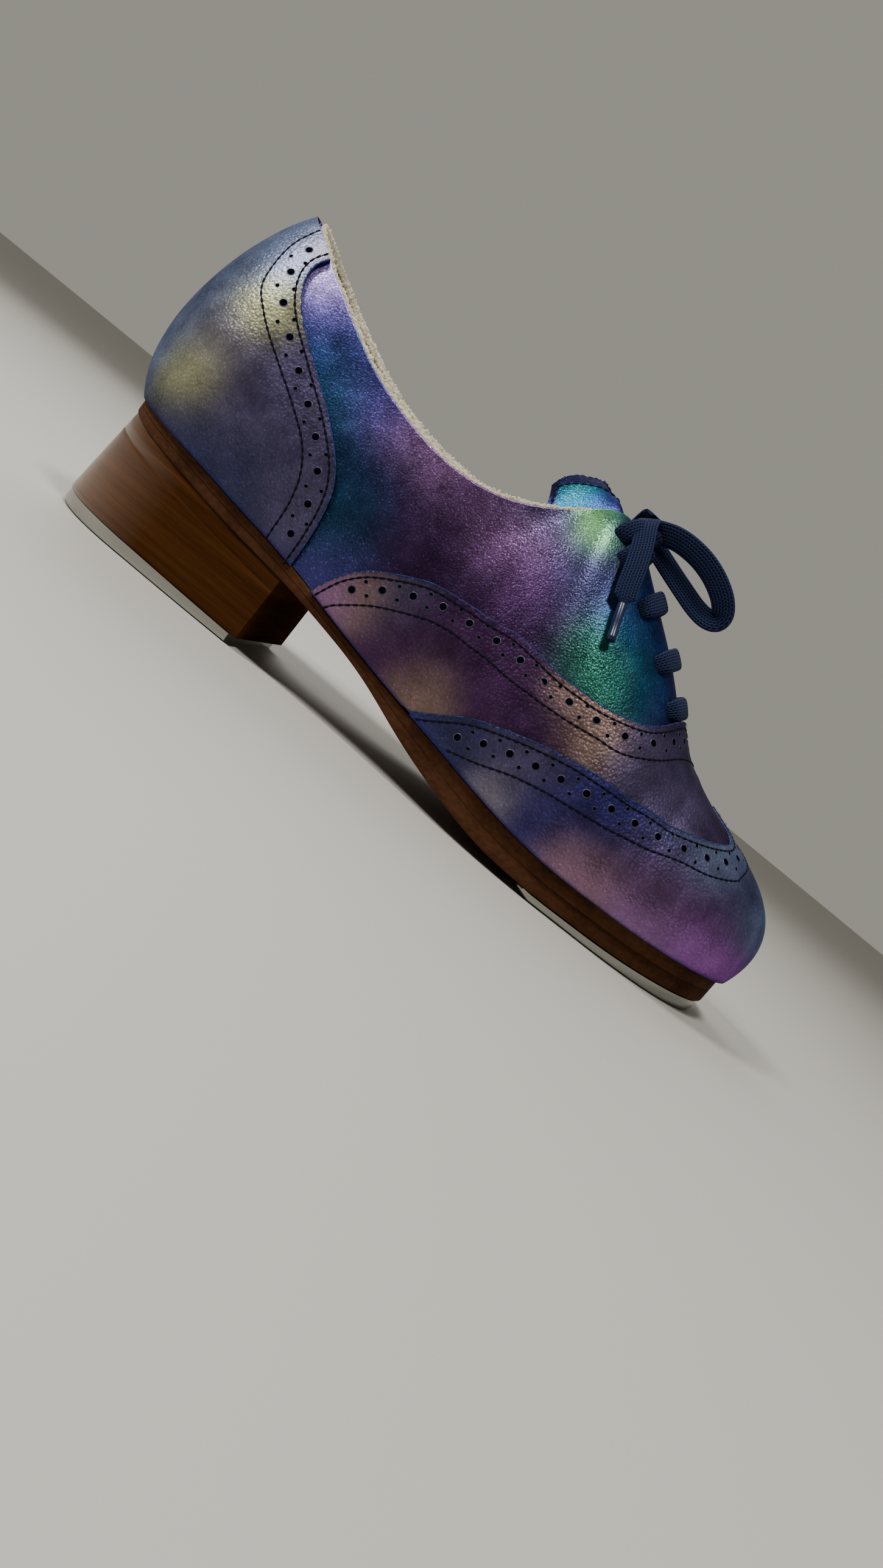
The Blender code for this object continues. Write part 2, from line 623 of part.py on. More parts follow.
def make_bow(group):
    knot = bmesh.new()
    bmesh.ops.create_uvsphere(knot, u_segments=12, v_segments=7, radius=1)
    bmesh.ops.scale(knot, vec=KNOT_SIZE, verts=knot.verts)
    tied = add("lace_knot", knot, "lace_cotton", group)
    tied.location = KNOT_PLACE
    routes = {"lace_loop_front": LOOP_FRONT, "lace_loop_inner": LOOP_INNER,
              "lace_end_outer": END_OUTER, "lace_end_inner": END_INNER}
    for name, points in routes.items():
        cord(name, points, CORD, "lace_cotton", group)
    for name, points in (("aglet_outer", END_OUTER), ("aglet_inner", END_INNER)):
        last, before = np.array(points[-1]), np.array(points[-2])
        ahead = (last - before) / np.linalg.norm(last - before)
        start = last + ahead * GAP
        cord(name, (start, start + ahead * AGLET_LENGTH / 2, start + ahead * AGLET_LENGTH), AGLET,
             "aglet_plastic", group)


def main():
    for thing in list(bpy.data.objects):
        bpy.data.objects.remove(thing, do_unlink=True)
    group = new_collection("tap_shoe")
    cutters = new_collection("cutters")
    make_upper(group)
    make_counter(group)
    make_vamp(group)
    make_wing_tip(group)
    make_tongue(group)
    make_insole(group)
    make_sole(group)
    make_heel(group)
    make_heel_tap(group, cutters)
    make_toe_tap(group, cutters)
    make_bars(group)
    make_bow(group)


main()
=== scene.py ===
"""Looks of the tap shoe: pearlised leather, fleece, cotton lace, wooden heel and metal taps.

Metres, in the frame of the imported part: +X from heel to toe, +Y to the inner side, +Z up.
"""
import math

import bpy
import numpy as np
from mathutils import Matrix, Vector


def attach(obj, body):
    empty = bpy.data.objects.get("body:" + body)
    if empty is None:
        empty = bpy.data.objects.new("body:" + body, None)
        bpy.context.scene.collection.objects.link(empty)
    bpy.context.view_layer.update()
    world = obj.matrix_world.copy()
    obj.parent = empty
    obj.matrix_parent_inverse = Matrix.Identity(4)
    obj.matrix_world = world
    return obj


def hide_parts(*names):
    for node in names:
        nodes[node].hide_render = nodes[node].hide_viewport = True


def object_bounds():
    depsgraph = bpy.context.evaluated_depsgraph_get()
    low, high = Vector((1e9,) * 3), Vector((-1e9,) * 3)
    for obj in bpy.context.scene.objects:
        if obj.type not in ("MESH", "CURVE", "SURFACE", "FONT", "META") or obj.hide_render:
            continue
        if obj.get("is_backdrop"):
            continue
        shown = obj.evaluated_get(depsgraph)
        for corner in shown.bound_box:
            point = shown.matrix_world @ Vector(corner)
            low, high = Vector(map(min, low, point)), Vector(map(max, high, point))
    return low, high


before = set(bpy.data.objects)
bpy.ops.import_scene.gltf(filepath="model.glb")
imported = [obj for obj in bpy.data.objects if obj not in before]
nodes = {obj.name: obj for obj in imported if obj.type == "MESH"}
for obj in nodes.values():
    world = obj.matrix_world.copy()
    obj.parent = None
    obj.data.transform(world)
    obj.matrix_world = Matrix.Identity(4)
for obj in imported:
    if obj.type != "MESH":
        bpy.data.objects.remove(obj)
cad_low, cad_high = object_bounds()
chance = np.random.default_rng(11)

# Camera: the photograph's place and turn against the shoe, which stands on a sloping stand there.
# 2000 pixels of focal length on a frame 2576 pixels high.
CAMERA_PLACE = (0.12349, -0.38600, 0.05442)
CAMERA_HEADING = math.radians(91.926)       # round Z, from +X
CAMERA_DIP = math.radians(7.26)              # below the horizon
CAMERA_ROLL = math.radians(39.357)

camera = bpy.data.objects.new("camera", bpy.data.cameras.new("camera"))
camera.data.sensor_width = 36.0
camera.data.lens = 2000 / 2576 * 36.0
camera.data.clip_start = 0.01
turn = (Matrix.Rotation(CAMERA_HEADING - math.pi / 2, 4, "Z")
        @ Matrix.Rotation(math.pi / 2 - CAMERA_DIP, 4, "X") @ Matrix.Rotation(CAMERA_ROLL, 4, "Z"))
camera.matrix_world = Matrix.Translation(CAMERA_PLACE) @ turn
bpy.context.scene.collection.objects.link(camera)
bpy.context.scene.camera = camera


# Floor and light: a pale floor, a grey-beige room that darkens towards the camera, and three lamps, over
# the shoe, over its heel and behind it. The helpers for materials and meshes come first.
def shader(name, colour, rough, metal=0.0):
    """A new material, its node tree and its main shader."""
    material = bpy.data.materials.new(name)
    material.use_nodes = True
    tree = material.node_tree
    main = tree.nodes["Principled BSDF"]
    plug(tree, main, {"Base Color": (*colour, 1), "Roughness": rough, "Metallic": metal})
    return material, tree, main


def plug(tree, target, inputs):
    """Set a node's inputs: another node's output is linked, anything else is stored."""
    for key, value in inputs.items():
        if isinstance(value, bpy.types.NodeSocket):
            tree.links.new(value, target.inputs[key])
        else:
            target.inputs[key].default_value = value


def node(tree, kind, inputs=None, **settings):
    """A new node of a tree, with its settings and inputs."""
    made = tree.nodes.new(f"ShaderNode{kind}")
    for name, value in settings.items():
        setattr(made, name, value)
    plug(tree, made, inputs or {})
    return made


def reckon(tree, operation, *values):
    """A sum of values or other nodes' outputs."""
    return node(tree, "Math", dict(enumerate(values)), operation=operation).outputs["Value"]


def vector(tree, operation, inputs):
    """A sum of vectors."""
    return node(tree, "VectorMath", inputs, operation=operation).outputs["Vector"]


def ranged(tree, value, source, target, **settings):
    """A value mapped from one range onto another."""
    ends = {"From Min": source[0], "From Max": source[1], "To Min": target[0], "To Max": target[1]}
    return node(tree, "MapRange", {"Value": value, **ends}, **settings).outputs["Result"]


def noise(tree, place, scale, detail=2, rough=0.5):
    """A cloudy value of 0 to 1."""
    inputs = {"Vector": place, "Scale": scale, "Detail": detail, "Roughness": rough}
    return node(tree, "TexNoise", inputs).outputs["Fac"]


def two_tone(tree, value, low, dark, high, pale):
    """A colour from dark to pale, as a value goes from low to high."""
    ramp = node(tree, "ValToRGB", {"Fac": value})
    for element, position, colour in zip(ramp.color_ramp.elements, (low, high), (dark, pale)):
        element.position = position
        element.color = (*colour, 1)
    return ramp.outputs["Color"]


def bump(tree, height, strength, distance):
    """A normal raised by a height."""
    inputs = {"Height": height, "Strength": strength, "Distance": distance}
    return node(tree, "Bump", inputs).outputs["Normal"]


def show(name, points, faces, material, sharp=180, flip=False):
    """A mesh object from points and quads, with edges sharper than an angle left sharp.

    flip turns its faces round, so that they look outwards.
    """
    points = np.asarray(points, float).reshape(-1, 3)
    mesh = bpy.data.meshes.new(name)
    corners = [face[:3] if face[2] == face[3] else face for face in faces.tolist()]
    mesh.from_pydata(points.tolist(), [], corners)
    mesh.polygons.foreach_set("use_smooth", [True] * len(mesh.polygons))
    if flip:
        mesh.flip_normals()
    if sharp < 180:
        mesh.set_sharp_from_angle(angle=math.radians(sharp))
    mesh.materials.append(material)
    thing = bpy.data.objects.new(name, mesh)
    bpy.context.scene.collection.objects.link(thing)
    return thing


def quads(columns, rows, round_columns=False, round_rows=False):
    """Faces of a grid whose point number is column * rows + row."""
    i = np.arange(columns if round_columns else columns - 1)[:, None]
    j = np.arange(rows if round_rows else rows - 1)[None, :]
    ahead, above = (i + 1) % columns, (j + 1) % rows
    corners = (i * rows + j, ahead * rows + j, ahead * rows + above, i * rows + above)
    return np.stack([np.broadcast_to(c, (i.size, j.size)) for c in corners], -1).reshape(-1, 4)


FLOOR_REACH = 9.0
FLOOR_COLOUR = (0.60, 0.585, 0.545)
FLOOR_STEPS = 96
ROOM_COLOUR = (0.36, 0.345, 0.305)
ROOM_DIM = 0.14         # towards the camera
ROOM_BRIGHT = 0.85      # away from it

floor_look, tree, main = shader("floor", FLOOR_COLOUR, 0.55)
spin = np.linspace(0, 2 * np.pi, FLOOR_STEPS, endpoint=False)[:, None]
rings = np.array([0.0001, 0.5, 2.0, FLOOR_REACH])[None, :]
floor_points = np.stack([rings * np.cos(spin), rings * np.sin(spin), 0 * rings * spin], -1)
floor = show("floor", floor_points, quads(*floor_points.shape[:2], round_columns=True), floor_look)
floor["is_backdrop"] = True

world = bpy.data.worlds.new("room")
bpy.context.scene.world = world
world.use_nodes = True
tree = world.node_tree
split = node(tree, "SeparateXYZ", {"Vector": node(tree, "TexCoord").outputs["Generated"]})
strength = ranged(tree, split.outputs["Y"], (-0.75, 0.45), (ROOM_DIM, ROOM_BRIGHT),
                  interpolation_type="SMOOTHSTEP")
plug(tree, tree.nodes["Background"], {"Color": (*ROOM_COLOUR, 1), "Strength": strength})

LAMPS = (
    # name, place, aimed at, size, watts, colour
    ("lamp_above", (0.14, -0.30, 0.84), (0.10, 0.0, 0.05), 0.12, 3.9, (1.0, 0.98, 0.94)),
    ("lamp_over_heel", (-0.55, -0.35, 0.75), (0.04, 0.0, 0.06), 0.24, 7.0, (1.0, 0.97, 0.92)),
    ("lamp_behind", (-0.30, 0.75, 0.80), (0.06, 0.0, 0.05), 0.60, 4.0, (1.0, 0.98, 0.95)),
)
for name, place, aim, size, watts, colour in LAMPS:
    lamp = bpy.data.objects.new(name, bpy.data.lights.new(name, "AREA"))
    lamp.data.size = size
    lamp.data.energy = watts
    lamp.data.color = colour
    lamp.location = place
    lamp.rotation_euler = (Vector(aim) - Vector(place)).to_track_quat("-Z", "Y").to_euler()
    bpy.context.scene.collection.objects.link(lamp)

# The last: the same sizes, sections and wall as the part's, because the leather lies on them.
LENGTH = 0.268
BALL_WIDTH = 0.086
HEEL_LIFT = 0.0428
BACK_HEIGHT = 0.1164
WALL = 0.0022
OVERLAY = 0.0012
TIP_LEATHER = 0.0018
SKIN_GAP = 0.0007
GAP = 0.0003
TOE_X = 0.634 * LENGTH
HEEL_X = -0.030 * LENGTH
TOE_TURN = 0.494 * BALL_WIDTH
HEEL_TURN = 0.360 * BALL_WIDTH
SWING = 0.047 * BALL_WIDTH
SWING_FROM = 0.224 * LENGTH
TOE_ARC = TOE_TURN * math.pi / 2
HEEL_ARC = HEEL_TURN * math.pi / 2
STRAIGHT = TOE_X - HEEL_X
HALF_WAY = TOE_ARC + STRAIGHT + HEEL_ARC

# at: share of the way from toe tip (0) to heel back (1). Widths in shares of BALL_WIDTH, feather in
# shares of HEEL_LIFT, rise, crown and tops in shares of BACK_HEIGHT.
COLUMNS = ("at", "outer", "inner", "feather", "out", "rise", "lean", "crown",
           "rim_out", "rim_in", "top_out", "top_in")
SECTIONS = np.array((
    (0.000, 0.547, 0.547, 0.341, 0.122, 0.266, 0.209, -0.099, 0.000, 0.000, 0.491, 0.491),
    (0.080, 0.517, 0.502, 0.332, 0.116, 0.253, 0.221, -0.082, 0.000, 0.000, 0.491, 0.491),
    (0.160, 0.488, 0.449, 0.308, 0.093, 0.215, 0.233, -0.043, 0.000, 0.000, 0.491, 0.491),
    (0.228, 0.500, 0.436, 0.292, 0.076, 0.189, 0.279, 0.000, 0.000, 0.000, 0.491, 0.491),
    (0.300, 0.535, 0.464, 0.287, 0.058, 0.223, 0.256, 0.004, 0.029, 0.029, 0.640, 0.640),
    (0.360, 0.523, 0.443, 0.320, 0.047, 0.258, 0.209, 0.004, 0.047, 0.047, 0.759, 0.759),
    (0.420, 0.481, 0.397, 0.381, 0.041, 0.292, 0.174, -0.013, 0.058, 0.058, 0.870, 0.870),
    (0.455, 0.441, 0.356, 0.418, 0.035, 0.292, 0.151, -0.034, 0.081, 0.081, 0.911, 0.911),
    (0.500, 0.397, 0.324, 0.463, 0.035, 0.258, 0.093, -0.120, 0.174, 0.174, 0.829, 0.846),
    (0.560, 0.360, 0.300, 0.535, 0.035, 0.223, 0.058, -0.172, 0.262, 0.244, 0.732, 0.760),
    (0.620, 0.345, 0.302, 0.621, 0.041, 0.206, 0.052, -0.172, 0.285, 0.262, 0.707, 0.741),
    (0.690, 0.347, 0.323, 0.729, 0.047, 0.206, 0.052, -0.172, 0.285, 0.267, 0.730, 0.756),
    (0.760, 0.352, 0.342, 0.804, 0.052, 0.223, 0.064, -0.189, 0.273, 0.262, 0.790, 0.803),
    (0.834, 0.343, 0.343, 0.883, 0.070, 0.206, 0.105, -0.206, 0.248, 0.248, 0.890, 0.893),
    (0.890, 0.343, 0.343, 0.935, 0.093, 0.189, 0.151, -0.189, 0.233, 0.233, 0.945, 0.945),
    (0.945, 0.344, 0.344, 0.977, 0.128, 0.155, 0.151, -0.155, 0.235, 0.235, 0.983, 0.983),
    (1.000, 0.349, 0.349, 1.000, 0.157, 0.129, 0.151, -0.155, 0.241, 0.241, 1.000, 1.000),
))
THROAT_AT = 0.270
THROAT_ROUND_AT = 0.016


def through(x, rows, column=1):
    """Smooth curve through a table's rows, level at both ends."""
    table = np.array(rows)
    xs, ys = table[:, 0], table[:, column]
    step = np.diff(xs)
    count = len(xs)
    matrix = np.eye(count)
    right = np.zeros(count)
    for i in range(1, count - 1):
        before, after = step[i - 1], step[i]
        matrix[i, i - 1:i + 2] = after, 2 * (after + before), before
        right[i] = 3 * (after * (ys[i] - ys[i - 1]) / before + before * (ys[i + 1] - ys[i]) / after)
    slope = np.linalg.solve(matrix, right)
    place = np.clip(np.searchsorted(xs, x, side="right") - 1, 0, count - 2)
    t = np.clip((x - xs[place]) / step[place], 0, 1)
    width = step[place]
    return ((1 + 2 * t) * (1 - t) ** 2 * ys[place] + t * (1 - t) ** 2 * width * slope[place]
            + t * t * (3 - 2 * t) * ys[place + 1] + t * t * (t - 1) * width * slope[place + 1])


def section(name, at):
    """One column of SECTIONS, at any share of the way."""
    return through(at, SECTIONS, COLUMNS.index(name))


def plan(q):
    """Foot of each wall section: middle line x and y, and the direction outwards."""
    at = np.abs(q)
    side = np.where(q < 0, -1.0, 1.0)
    way = at * HALF_WAY
    turned = (np.clip(way, 0, TOE_ARC) / TOE_TURN
              + np.clip(way - TOE_ARC - STRAIGHT, 0, HEEL_ARC) / HEEL_TURN)
    x = TOE_X - np.clip(way - TOE_ARC, 0, STRAIGHT)
    share = np.clip((x - SWING_FROM) / (TOE_X - SWING_FROM), 0, 1)
    y = SWING * share * share * (3 - 2 * share)
    return at, side, x, y, np.cos(turned), side * np.sin(turned)


def wall(q, up):
    """Outer face of the upper: a cubic in each section, from the sole's edge (up 0) to the top (1).

    q runs from -1 (heel back) along the outer side to 0 (toe tip), then along the inner side to 1.
    """
    q, up = np.broadcast_arrays(np.asarray(q, float), np.asarray(up, float))
    at, side, x, y, along, across = plan(q)
    outer = side < 0
    foot = np.where(outer, section("outer", at), section("inner", at)) * BALL_WIDTH
    low = section("feather", at) * HEEL_LIFT
    slot = np.clip((at - THROAT_AT) / THROAT_ROUND_AT, 0, 1)
    rim = np.where(outer, section("rim_out", at), section("rim_in", at)) * BALL_WIDTH * np.sqrt(slot)
    ridge = np.maximum(at, TOE_ARC / HALF_WAY)
    extra = np.where(outer, 0.0, section("top_in", ridge) - section("top_out", ridge)) * slot
    top = (section("top_out", ridge) + extra) * BACK_HEIGHT
    bulge = foot + section("out", at) * BALL_WIDTH
    belly = low + section("rise", at) * BACK_HEIGHT
    shoulder = rim + section("lean", at) * BALL_WIDTH
    neck = top + section("crown", at) * BACK_HEIGHT
    a, b, c, d = (1 - up) ** 3, 3 * up * (1 - up) ** 2, 3 * up * up * (1 - up), up ** 3
    reach = a * foot + b * bulge + c * shoulder + d * rim
    height = a * low + b * belly + c * neck + d * top
    return np.stack([x + reach * along, y + reach * across, height], -1)


def outward(q, up):
    """Direction out of the upper's outer face, one for both sides on the closed ridge."""
    step = 0.0005
    q, up = np.broadcast_arrays(np.asarray(q, float), np.asarray(up, float))
    closed = (up > 0.999) & (np.abs(q) < THROAT_AT)
    near = np.where(closed, np.maximum(np.abs(q), TOE_ARC / HALF_WAY), q)
    middle = np.clip(up, step, 1 - step)

    def normal(place):
        ahead, behind = np.clip(place + step, -1, 1), np.clip(place - step, -1, 1)
        round_way = wall(ahead, middle) - wall(behind, middle)
        found = np.cross(round_way, wall(place, middle + step) - wall(place, middle - step))
        return found / np.linalg.norm(found, axis=-1, keepdims=True)

    both = normal(near) + np.where(closed[..., None], normal(-near), 0)
    return both / np.linalg.norm(both, axis=-1, keepdims=True)


# Creases that wear has pressed into the leather, alike in the upper and its overlays. Each runs from
# one place on the wall to another (at, up), with its width and depth; a ridge has a negative depth.
CREASES = (
    # side, from at, up, to at, up, width, depth
    (-1, 0.448, 0.93, 0.405, 0.35, 0.0052, 0.00075),
    (-1, 0.470, 0.90, 0.425, 0.42, 0.0060, -0.00025),
    (-1, 0.505, 0.92, 0.560, 0.66, 0.0060, 0.00035),
    (-1, 0.350, 0.09, 0.300, 0.12, 0.0050, 0.00055),
    (-1, 0.372, 0.15, 0.335, 0.22, 0.0045, 0.00030),
    (-1, 0.285, 0.30, 0.255, 0.55, 0.0055, 0.00030),
    (-1, 0.860, 0.46, 0.910, 0.42, 0.0070, -0.00040),
    (1, 0.450, 0.92, 0.410, 0.40, 0.0055, 0.00065),
    (1, 0.340, 0.12, 0.300, 0.16, 0.0050, 0.00050),
    (1, 0.275, 0.32, 0.250, 0.58, 0.0055, 0.00030),
    (1, 0.520, 0.88, 0.580, 0.62, 0.0060, 0.00035),
)


EASE = 0.014            # half length, as a share of the way, over which the throat's front end is eased


def creased(q, up, lift):
    """Points of the wall, moved out by lift less the soft troughs of CREASES.

    The wall has a kink where the throat begins; there it takes the mean of places before and behind.
    """
    q, up, lift = np.broadcast_arrays(q, up, lift)
    base, out = wall(q, up), outward(q, up)
    share = np.exp(-((np.abs(q) - THROAT_AT) / EASE) ** 2)[..., None]
    if share.max() > 0.01:
        steps = EASE * np.linspace(-1, 1, 7)
        weights = np.exp(-(steps / EASE * 1.5) ** 2)
        near = [np.clip(q + step, -1, 1) for step in steps]
        mean_base = sum(w * wall(place, up) for w, place in zip(weights, near)) / weights.sum()
        mean_out = sum(w * outward(place, up) for w, place in zip(weights, near)) / weights.sum()
        base = base + share * (mean_base - base)
        out = out + share * (mean_out - out)
        out /= np.linalg.norm(out, axis=-1, keepdims=True)
    depth = np.zeros(q.shape)
    for side, at_a, up_a, at_b, up_b, width, deep in CREASES:
        a, b = wall(side * at_a, up_a), wall(side * at_b, up_b)
        along = np.clip((base - a) @ (b - a) / ((b - a) @ (b - a)), 0, 1)
        away = np.linalg.norm(base - a - along[..., None] * (b - a), axis=-1)
        depth += deep * np.exp(-(away / width) ** 2)
    return base + out * (lift - depth)[..., None]


# Leather: a pebbled grain, tiny flakes that catch the light, and soft tints painted on each panel, which
# mix the pearl finish's own colours with painted highlights and painted shade.
def srgb(*values):
    """Linear light from a screen colour of 0 to 255."""
    c = np.array(values, float) / 255
    return np.where(c <= 0.04045, c / 12.92, ((c + 0.055) / 1.055) ** 2.4)


# Colours of the pearl finish; the lilac, leaf green and gold ones serve only as painted highlights
# painted highlight colour: the lilac gleam at the top of the quarters' back
LILAC_HIGHLIGHT = (205, 180, 255)
VIOLET = (105, 95, 190)
INDIGO = (62, 58, 118)
NAVY = (40, 45, 90)
BLUE = (38, 75, 130)
TEAL = (32, 82, 108)
GREEN = (35, 95, 72)
# painted highlight colour: the leaf green gleam on the quarter by the laces
LEAF_HIGHLIGHT = (115, 175, 95)
MAUVE = (145, 105, 155)
PLUM = (70, 44, 80)
ORCHID = (155, 100, 175)
ROSE = (150, 115, 135)
SILVER = (125, 118, 132)
STEEL = (125, 138, 172)
# painted highlight colour: the gold gleams on the heel counter
GOLD_HIGHLIGHT = (175, 175, 125)
BRONZE = (130, 108, 98)
DUSK = (90, 82, 115)
SLATE = (54, 56, 86)
AQUA = (50, 140, 150)


def tinted(thing, tints_and_painted_light, base, edge=None, edge_colour=(0, 0, 0)):
    """Paint a piece's points with soft tints, which here also carry painted highlights and painted shade.

    Each tint is x, z, spread and a screen colour. A point takes the mean of the tints and the base,
    each weighed by a bell curve of its distance; edge is the share of raw edge at each point.
    """
    points = np.array([v.co[:] for v in thing.data.vertices])
    total = np.full(len(points), 0.10)
    colour = np.outer(total, srgb(*base))
    for x, z, spread, tint in tints_and_painted_light:
        away = np.hypot(points[:, 0] - x, points[:, 2] - z)
        weight = np.exp(-0.5 * (away / spread) ** 2)
        total += weight
        colour += np.outer(weight, srgb(*tint))
    colour /= total[:, None]
    if edge is not None:
        share = np.asarray(edge, float).reshape(-1, 1)
        colour = colour * (1 - share) + srgb(*edge_colour) * share
    layer = thing.data.attributes.new("tint", "FLOAT_COLOR", "POINT")
    layer.data.foreach_set("color", np.column_stack([colour, np.ones(len(points))]).ravel())


FLAKES = 2600           # scale of the flakes


def leather(name, rough, metal, coat, grain, depth, spark):
    """Leather that reads its colour from the attribute tint, tints with painted highlights and painted
    shade among them; grain and depth are its pebbles' own.
    """
    material, tree, main = shader(name, (0.2, 0.2, 0.2), rough, metal)
    place = node(tree, "TexCoord").outputs["Object"]
    paint = node(tree, "Attribute", attribute_name="tint").outputs["Color"]
    cloud = noise(tree, place, 120, 5)
    pebbles = node(tree, "TexVoronoi", {"Vector": place, "Scale": grain}).outputs["Distance"]
    flakes = node(tree, "TexVoronoi", {"Vector": place, "Scale": FLAKES}).outputs["Color"]
    # darker between the pebbles, a little uneven, and a few flakes shine
    shade = ranged(tree, pebbles, (0.2, 0.8), (1.06, 0.86))
    uneven = ranged(tree, cloud, (0.3, 0.7), (0.82, 1.18))
    colour = vector(tree, "SCALE", {0: paint, "Scale": reckon(tree, "MULTIPLY", shade, uneven)})
    red = node(tree, "SeparateColor", {"Color": flakes}).outputs["Red"]
    shine = ranged(tree, red, (0.90, 1.0), (1.0, spark))
    lit = vector(tree, "SCALE", {0: colour, "Scale": shine})
    gloss = ranged(tree, cloud, (0, 1), (rough - 0.10, rough + 0.14))
    # grain, then flakes that lean a little each way
    relief = node(tree, "Bump", {"Strength": depth, "Distance": 0.00022, "Height": pebbles}, invert=True)
    soft = node(tree, "Bump", {"Strength": 0.18, "Distance": 0.0006, "Height": cloud,
                               "Normal": relief.outputs["Normal"]}).outputs["Normal"]
    lean = vector(tree, "MULTIPLY_ADD", {0: flakes, 1: (0.14, 0.14, 0.14), 2: soft})
    level = vector(tree, "SUBTRACT", {0: lean, 1: (0.07, 0.07, 0.07)})
    plug(tree, main, {"Base Color": lit, "Specular Tint": colour, "Roughness": gloss,
                      "Normal": vector(tree, "NORMALIZE", {0: level}), "Coat Normal": soft,
                      "Specular IOR Level": 0.3, "Coat Weight": coat, "Coat Roughness": 0.32})
    return material


quarter_leather = leather("quarter_leather", 0.36, 0.90, 0.05, 1500, 0.30, 2.4)
panel_leather = leather("panel_leather", 0.42, 0.85, 0.04, 1050, 0.45, 1.6)
RAW_EDGE = (32, 38, 92)
FOOT_EDGE = 0.014       # share of the wall's height that shows as raw edge along the sole

# Quarters: the upper's outer leather, glossy, from violet at the heel over teal and plum to green and
# blue at the laces; its tints also paint a lilac highlight at the top of the back, a leaf green one by
# the laces and painted shade in darker spots. Its rolled rim goes a little way down inside.
QUARTER_TINTS_AND_PAINTED_LIGHT = (
    # x, z, spread, colour
    (-0.010, 0.102, 0.0070, LILAC_HIGHLIGHT), (-0.004, 0.093, 0.0060, VIOLET), (0.000, 0.084, 0.0080, BLUE),
    (0.015, 0.074, 0.0100, TEAL), (0.014, 0.090, 0.0075, INDIGO), (0.028, 0.085, 0.0070, VIOLET),
    (0.038, 0.083, 0.0065, MAUVE), (0.036, 0.066, 0.0100, NAVY), (0.034, 0.052, 0.0090, TEAL),
    (0.044, 0.038, 0.0065, INDIGO), (0.052, 0.081, 0.0070, MAUVE), (0.066, 0.066, 0.0120, PLUM),
    (0.078, 0.079, 0.0080, MAUVE), (0.082, 0.088, 0.0055, DUSK), (0.094, 0.062, 0.0120, PLUM),
    (0.088, 0.092, 0.0060, SLATE), (0.098, 0.099, 0.0055, LEAF_HIGHLIGHT), (0.104, 0.104, 0.0050, BLUE),
    (0.106, 0.084, 0.0075, SLATE), (0.122, 0.067, 0.0070, GREEN), (0.134, 0.063, 0.0070, GREEN),
    (0.127, 0.084, 0.0075, BLUE), (0.143, 0.070, 0.0065, BLUE), (0.154, 0.068, 0.0060, INDIGO),
)
QUARTER_BASE = INDIGO
RIM = 0.0006

half = np.unique(np.concatenate([np.linspace(0, THROAT_AT, 50), np.linspace(THROAT_AT, 0.30, 26),
                                 np.linspace(0.30, 0.78, 150), np.linspace(0.78, 1, 84)]))
q = np.concatenate([-half[:0:-1], half])
up = np.concatenate([np.linspace(0, 0.9, 50), 1 - 0.1 * (1 - np.linspace(0, 1, 14)[1:]) ** 1.5])
outer = creased(q[:, None], up[None, :], 0.0)
rolled = []
for angle in np.linspace(0.2, 1, 6) * math.pi:
    lift = RIM * (np.cos(angle) - 1)
    rise = RIM * np.sin(angle)
    rolled.append(creased(q, 1.0, lift) + np.array((0, 0, 1)) * rise)
inside = [creased(q, level, -2 * RIM) for level in (0.985, 0.96)]
grid = np.concatenate([outer, np.stack(rolled + inside, 1)], 1)
quarters = show("quarters", grid, quads(*grid.shape[:2]), quarter_leather)
tinted(quarters, QUARTER_TINTS_AND_PAINTED_LIGHT, QUARTER_BASE)
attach(quarters, "root")
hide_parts("upper")

# Lining: cream fleece on the upper's inner face, whose curly top edge stands above the leather.
def napped(name, colour, rough, scale, tones, strength, distance):
    """A napped material, whose one noise gives its two tones and its relief."""
    material, tree, main = shader(name, colour, rough)
    nap = noise(tree, node(tree, "TexCoord").outputs["Object"], scale, 4)
    plug(tree, main, {"Base Color": two_tone(tree, nap, *tones),
                      "Normal": bump(tree, nap, strength, distance)})
    return material, tree, main


FLEECE_TONES = (0.30, (0.36, 0.31, 0.20), 0.62, (0.76, 0.70, 0.52))
fleece, tree, main = napped("fleece", (0.50, 0.45, 0.34), 0.95, 900, FLEECE_TONES, 0.9, 0.0008)
plug(tree, main, {"Sheen Weight": 0.5, "Sheen Roughness": 0.5})

LINING_FROM = 0.452     # the collar's fleece starts behind the top eyelets
FLEECE_RISE = 0.0024    # above the leather's edge
FLEECE_DEEP = 0.0027

half = np.linspace(LINING_FROM, 1, 420)
q = np.concatenate([-half, half[-2::-1]])
fade = np.clip((1 - np.abs(np.abs(q) - 1) / (1 - LINING_FROM)) / 0.05, 0, 1) ** 0.5
fuzz = 0.00030 * chance.standard_normal(len(q))
loops = []
for level in np.linspace(0, 0.97, 26):
    loops.append(creased(q, level, -WALL))
for angle in np.linspace(0.0, 1, 9) * math.pi:
    out = -(2 * RIM + 0.0001) - FLEECE_DEEP / 2 * (1 + np.cos(angle))
    rise = np.sin(angle) * (FLEECE_RISE + fuzz) * fade
    loops.append(creased(q, 1.0, out) + np.array((0, 0, 1)) * rise[:, None])
grid = np.stack(loops, 1)
lining = show("lining", grid, quads(*grid.shape[:2]), fleece)
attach(lining, "root")

# Lining of the forepart, inside the toe and below the facings.
half = np.linspace(0, LINING_FROM, 120)
q = np.concatenate([-half[:0:-1], half])
up = np.linspace(0, 1, 24)
grid = creased(q[:, None], up[None, :], -WALL)
fore_lining = show("fore_lining", grid, quads(*grid.shape[:2]), fleece, flip=True)
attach(fore_lining, "root")


# Overlays: each lies on the upper as a sheet with its raw edge, and carries stitches and punched holes.
SEAM_INSET = 0.0019     # from an overlay's edge to its row of stitches


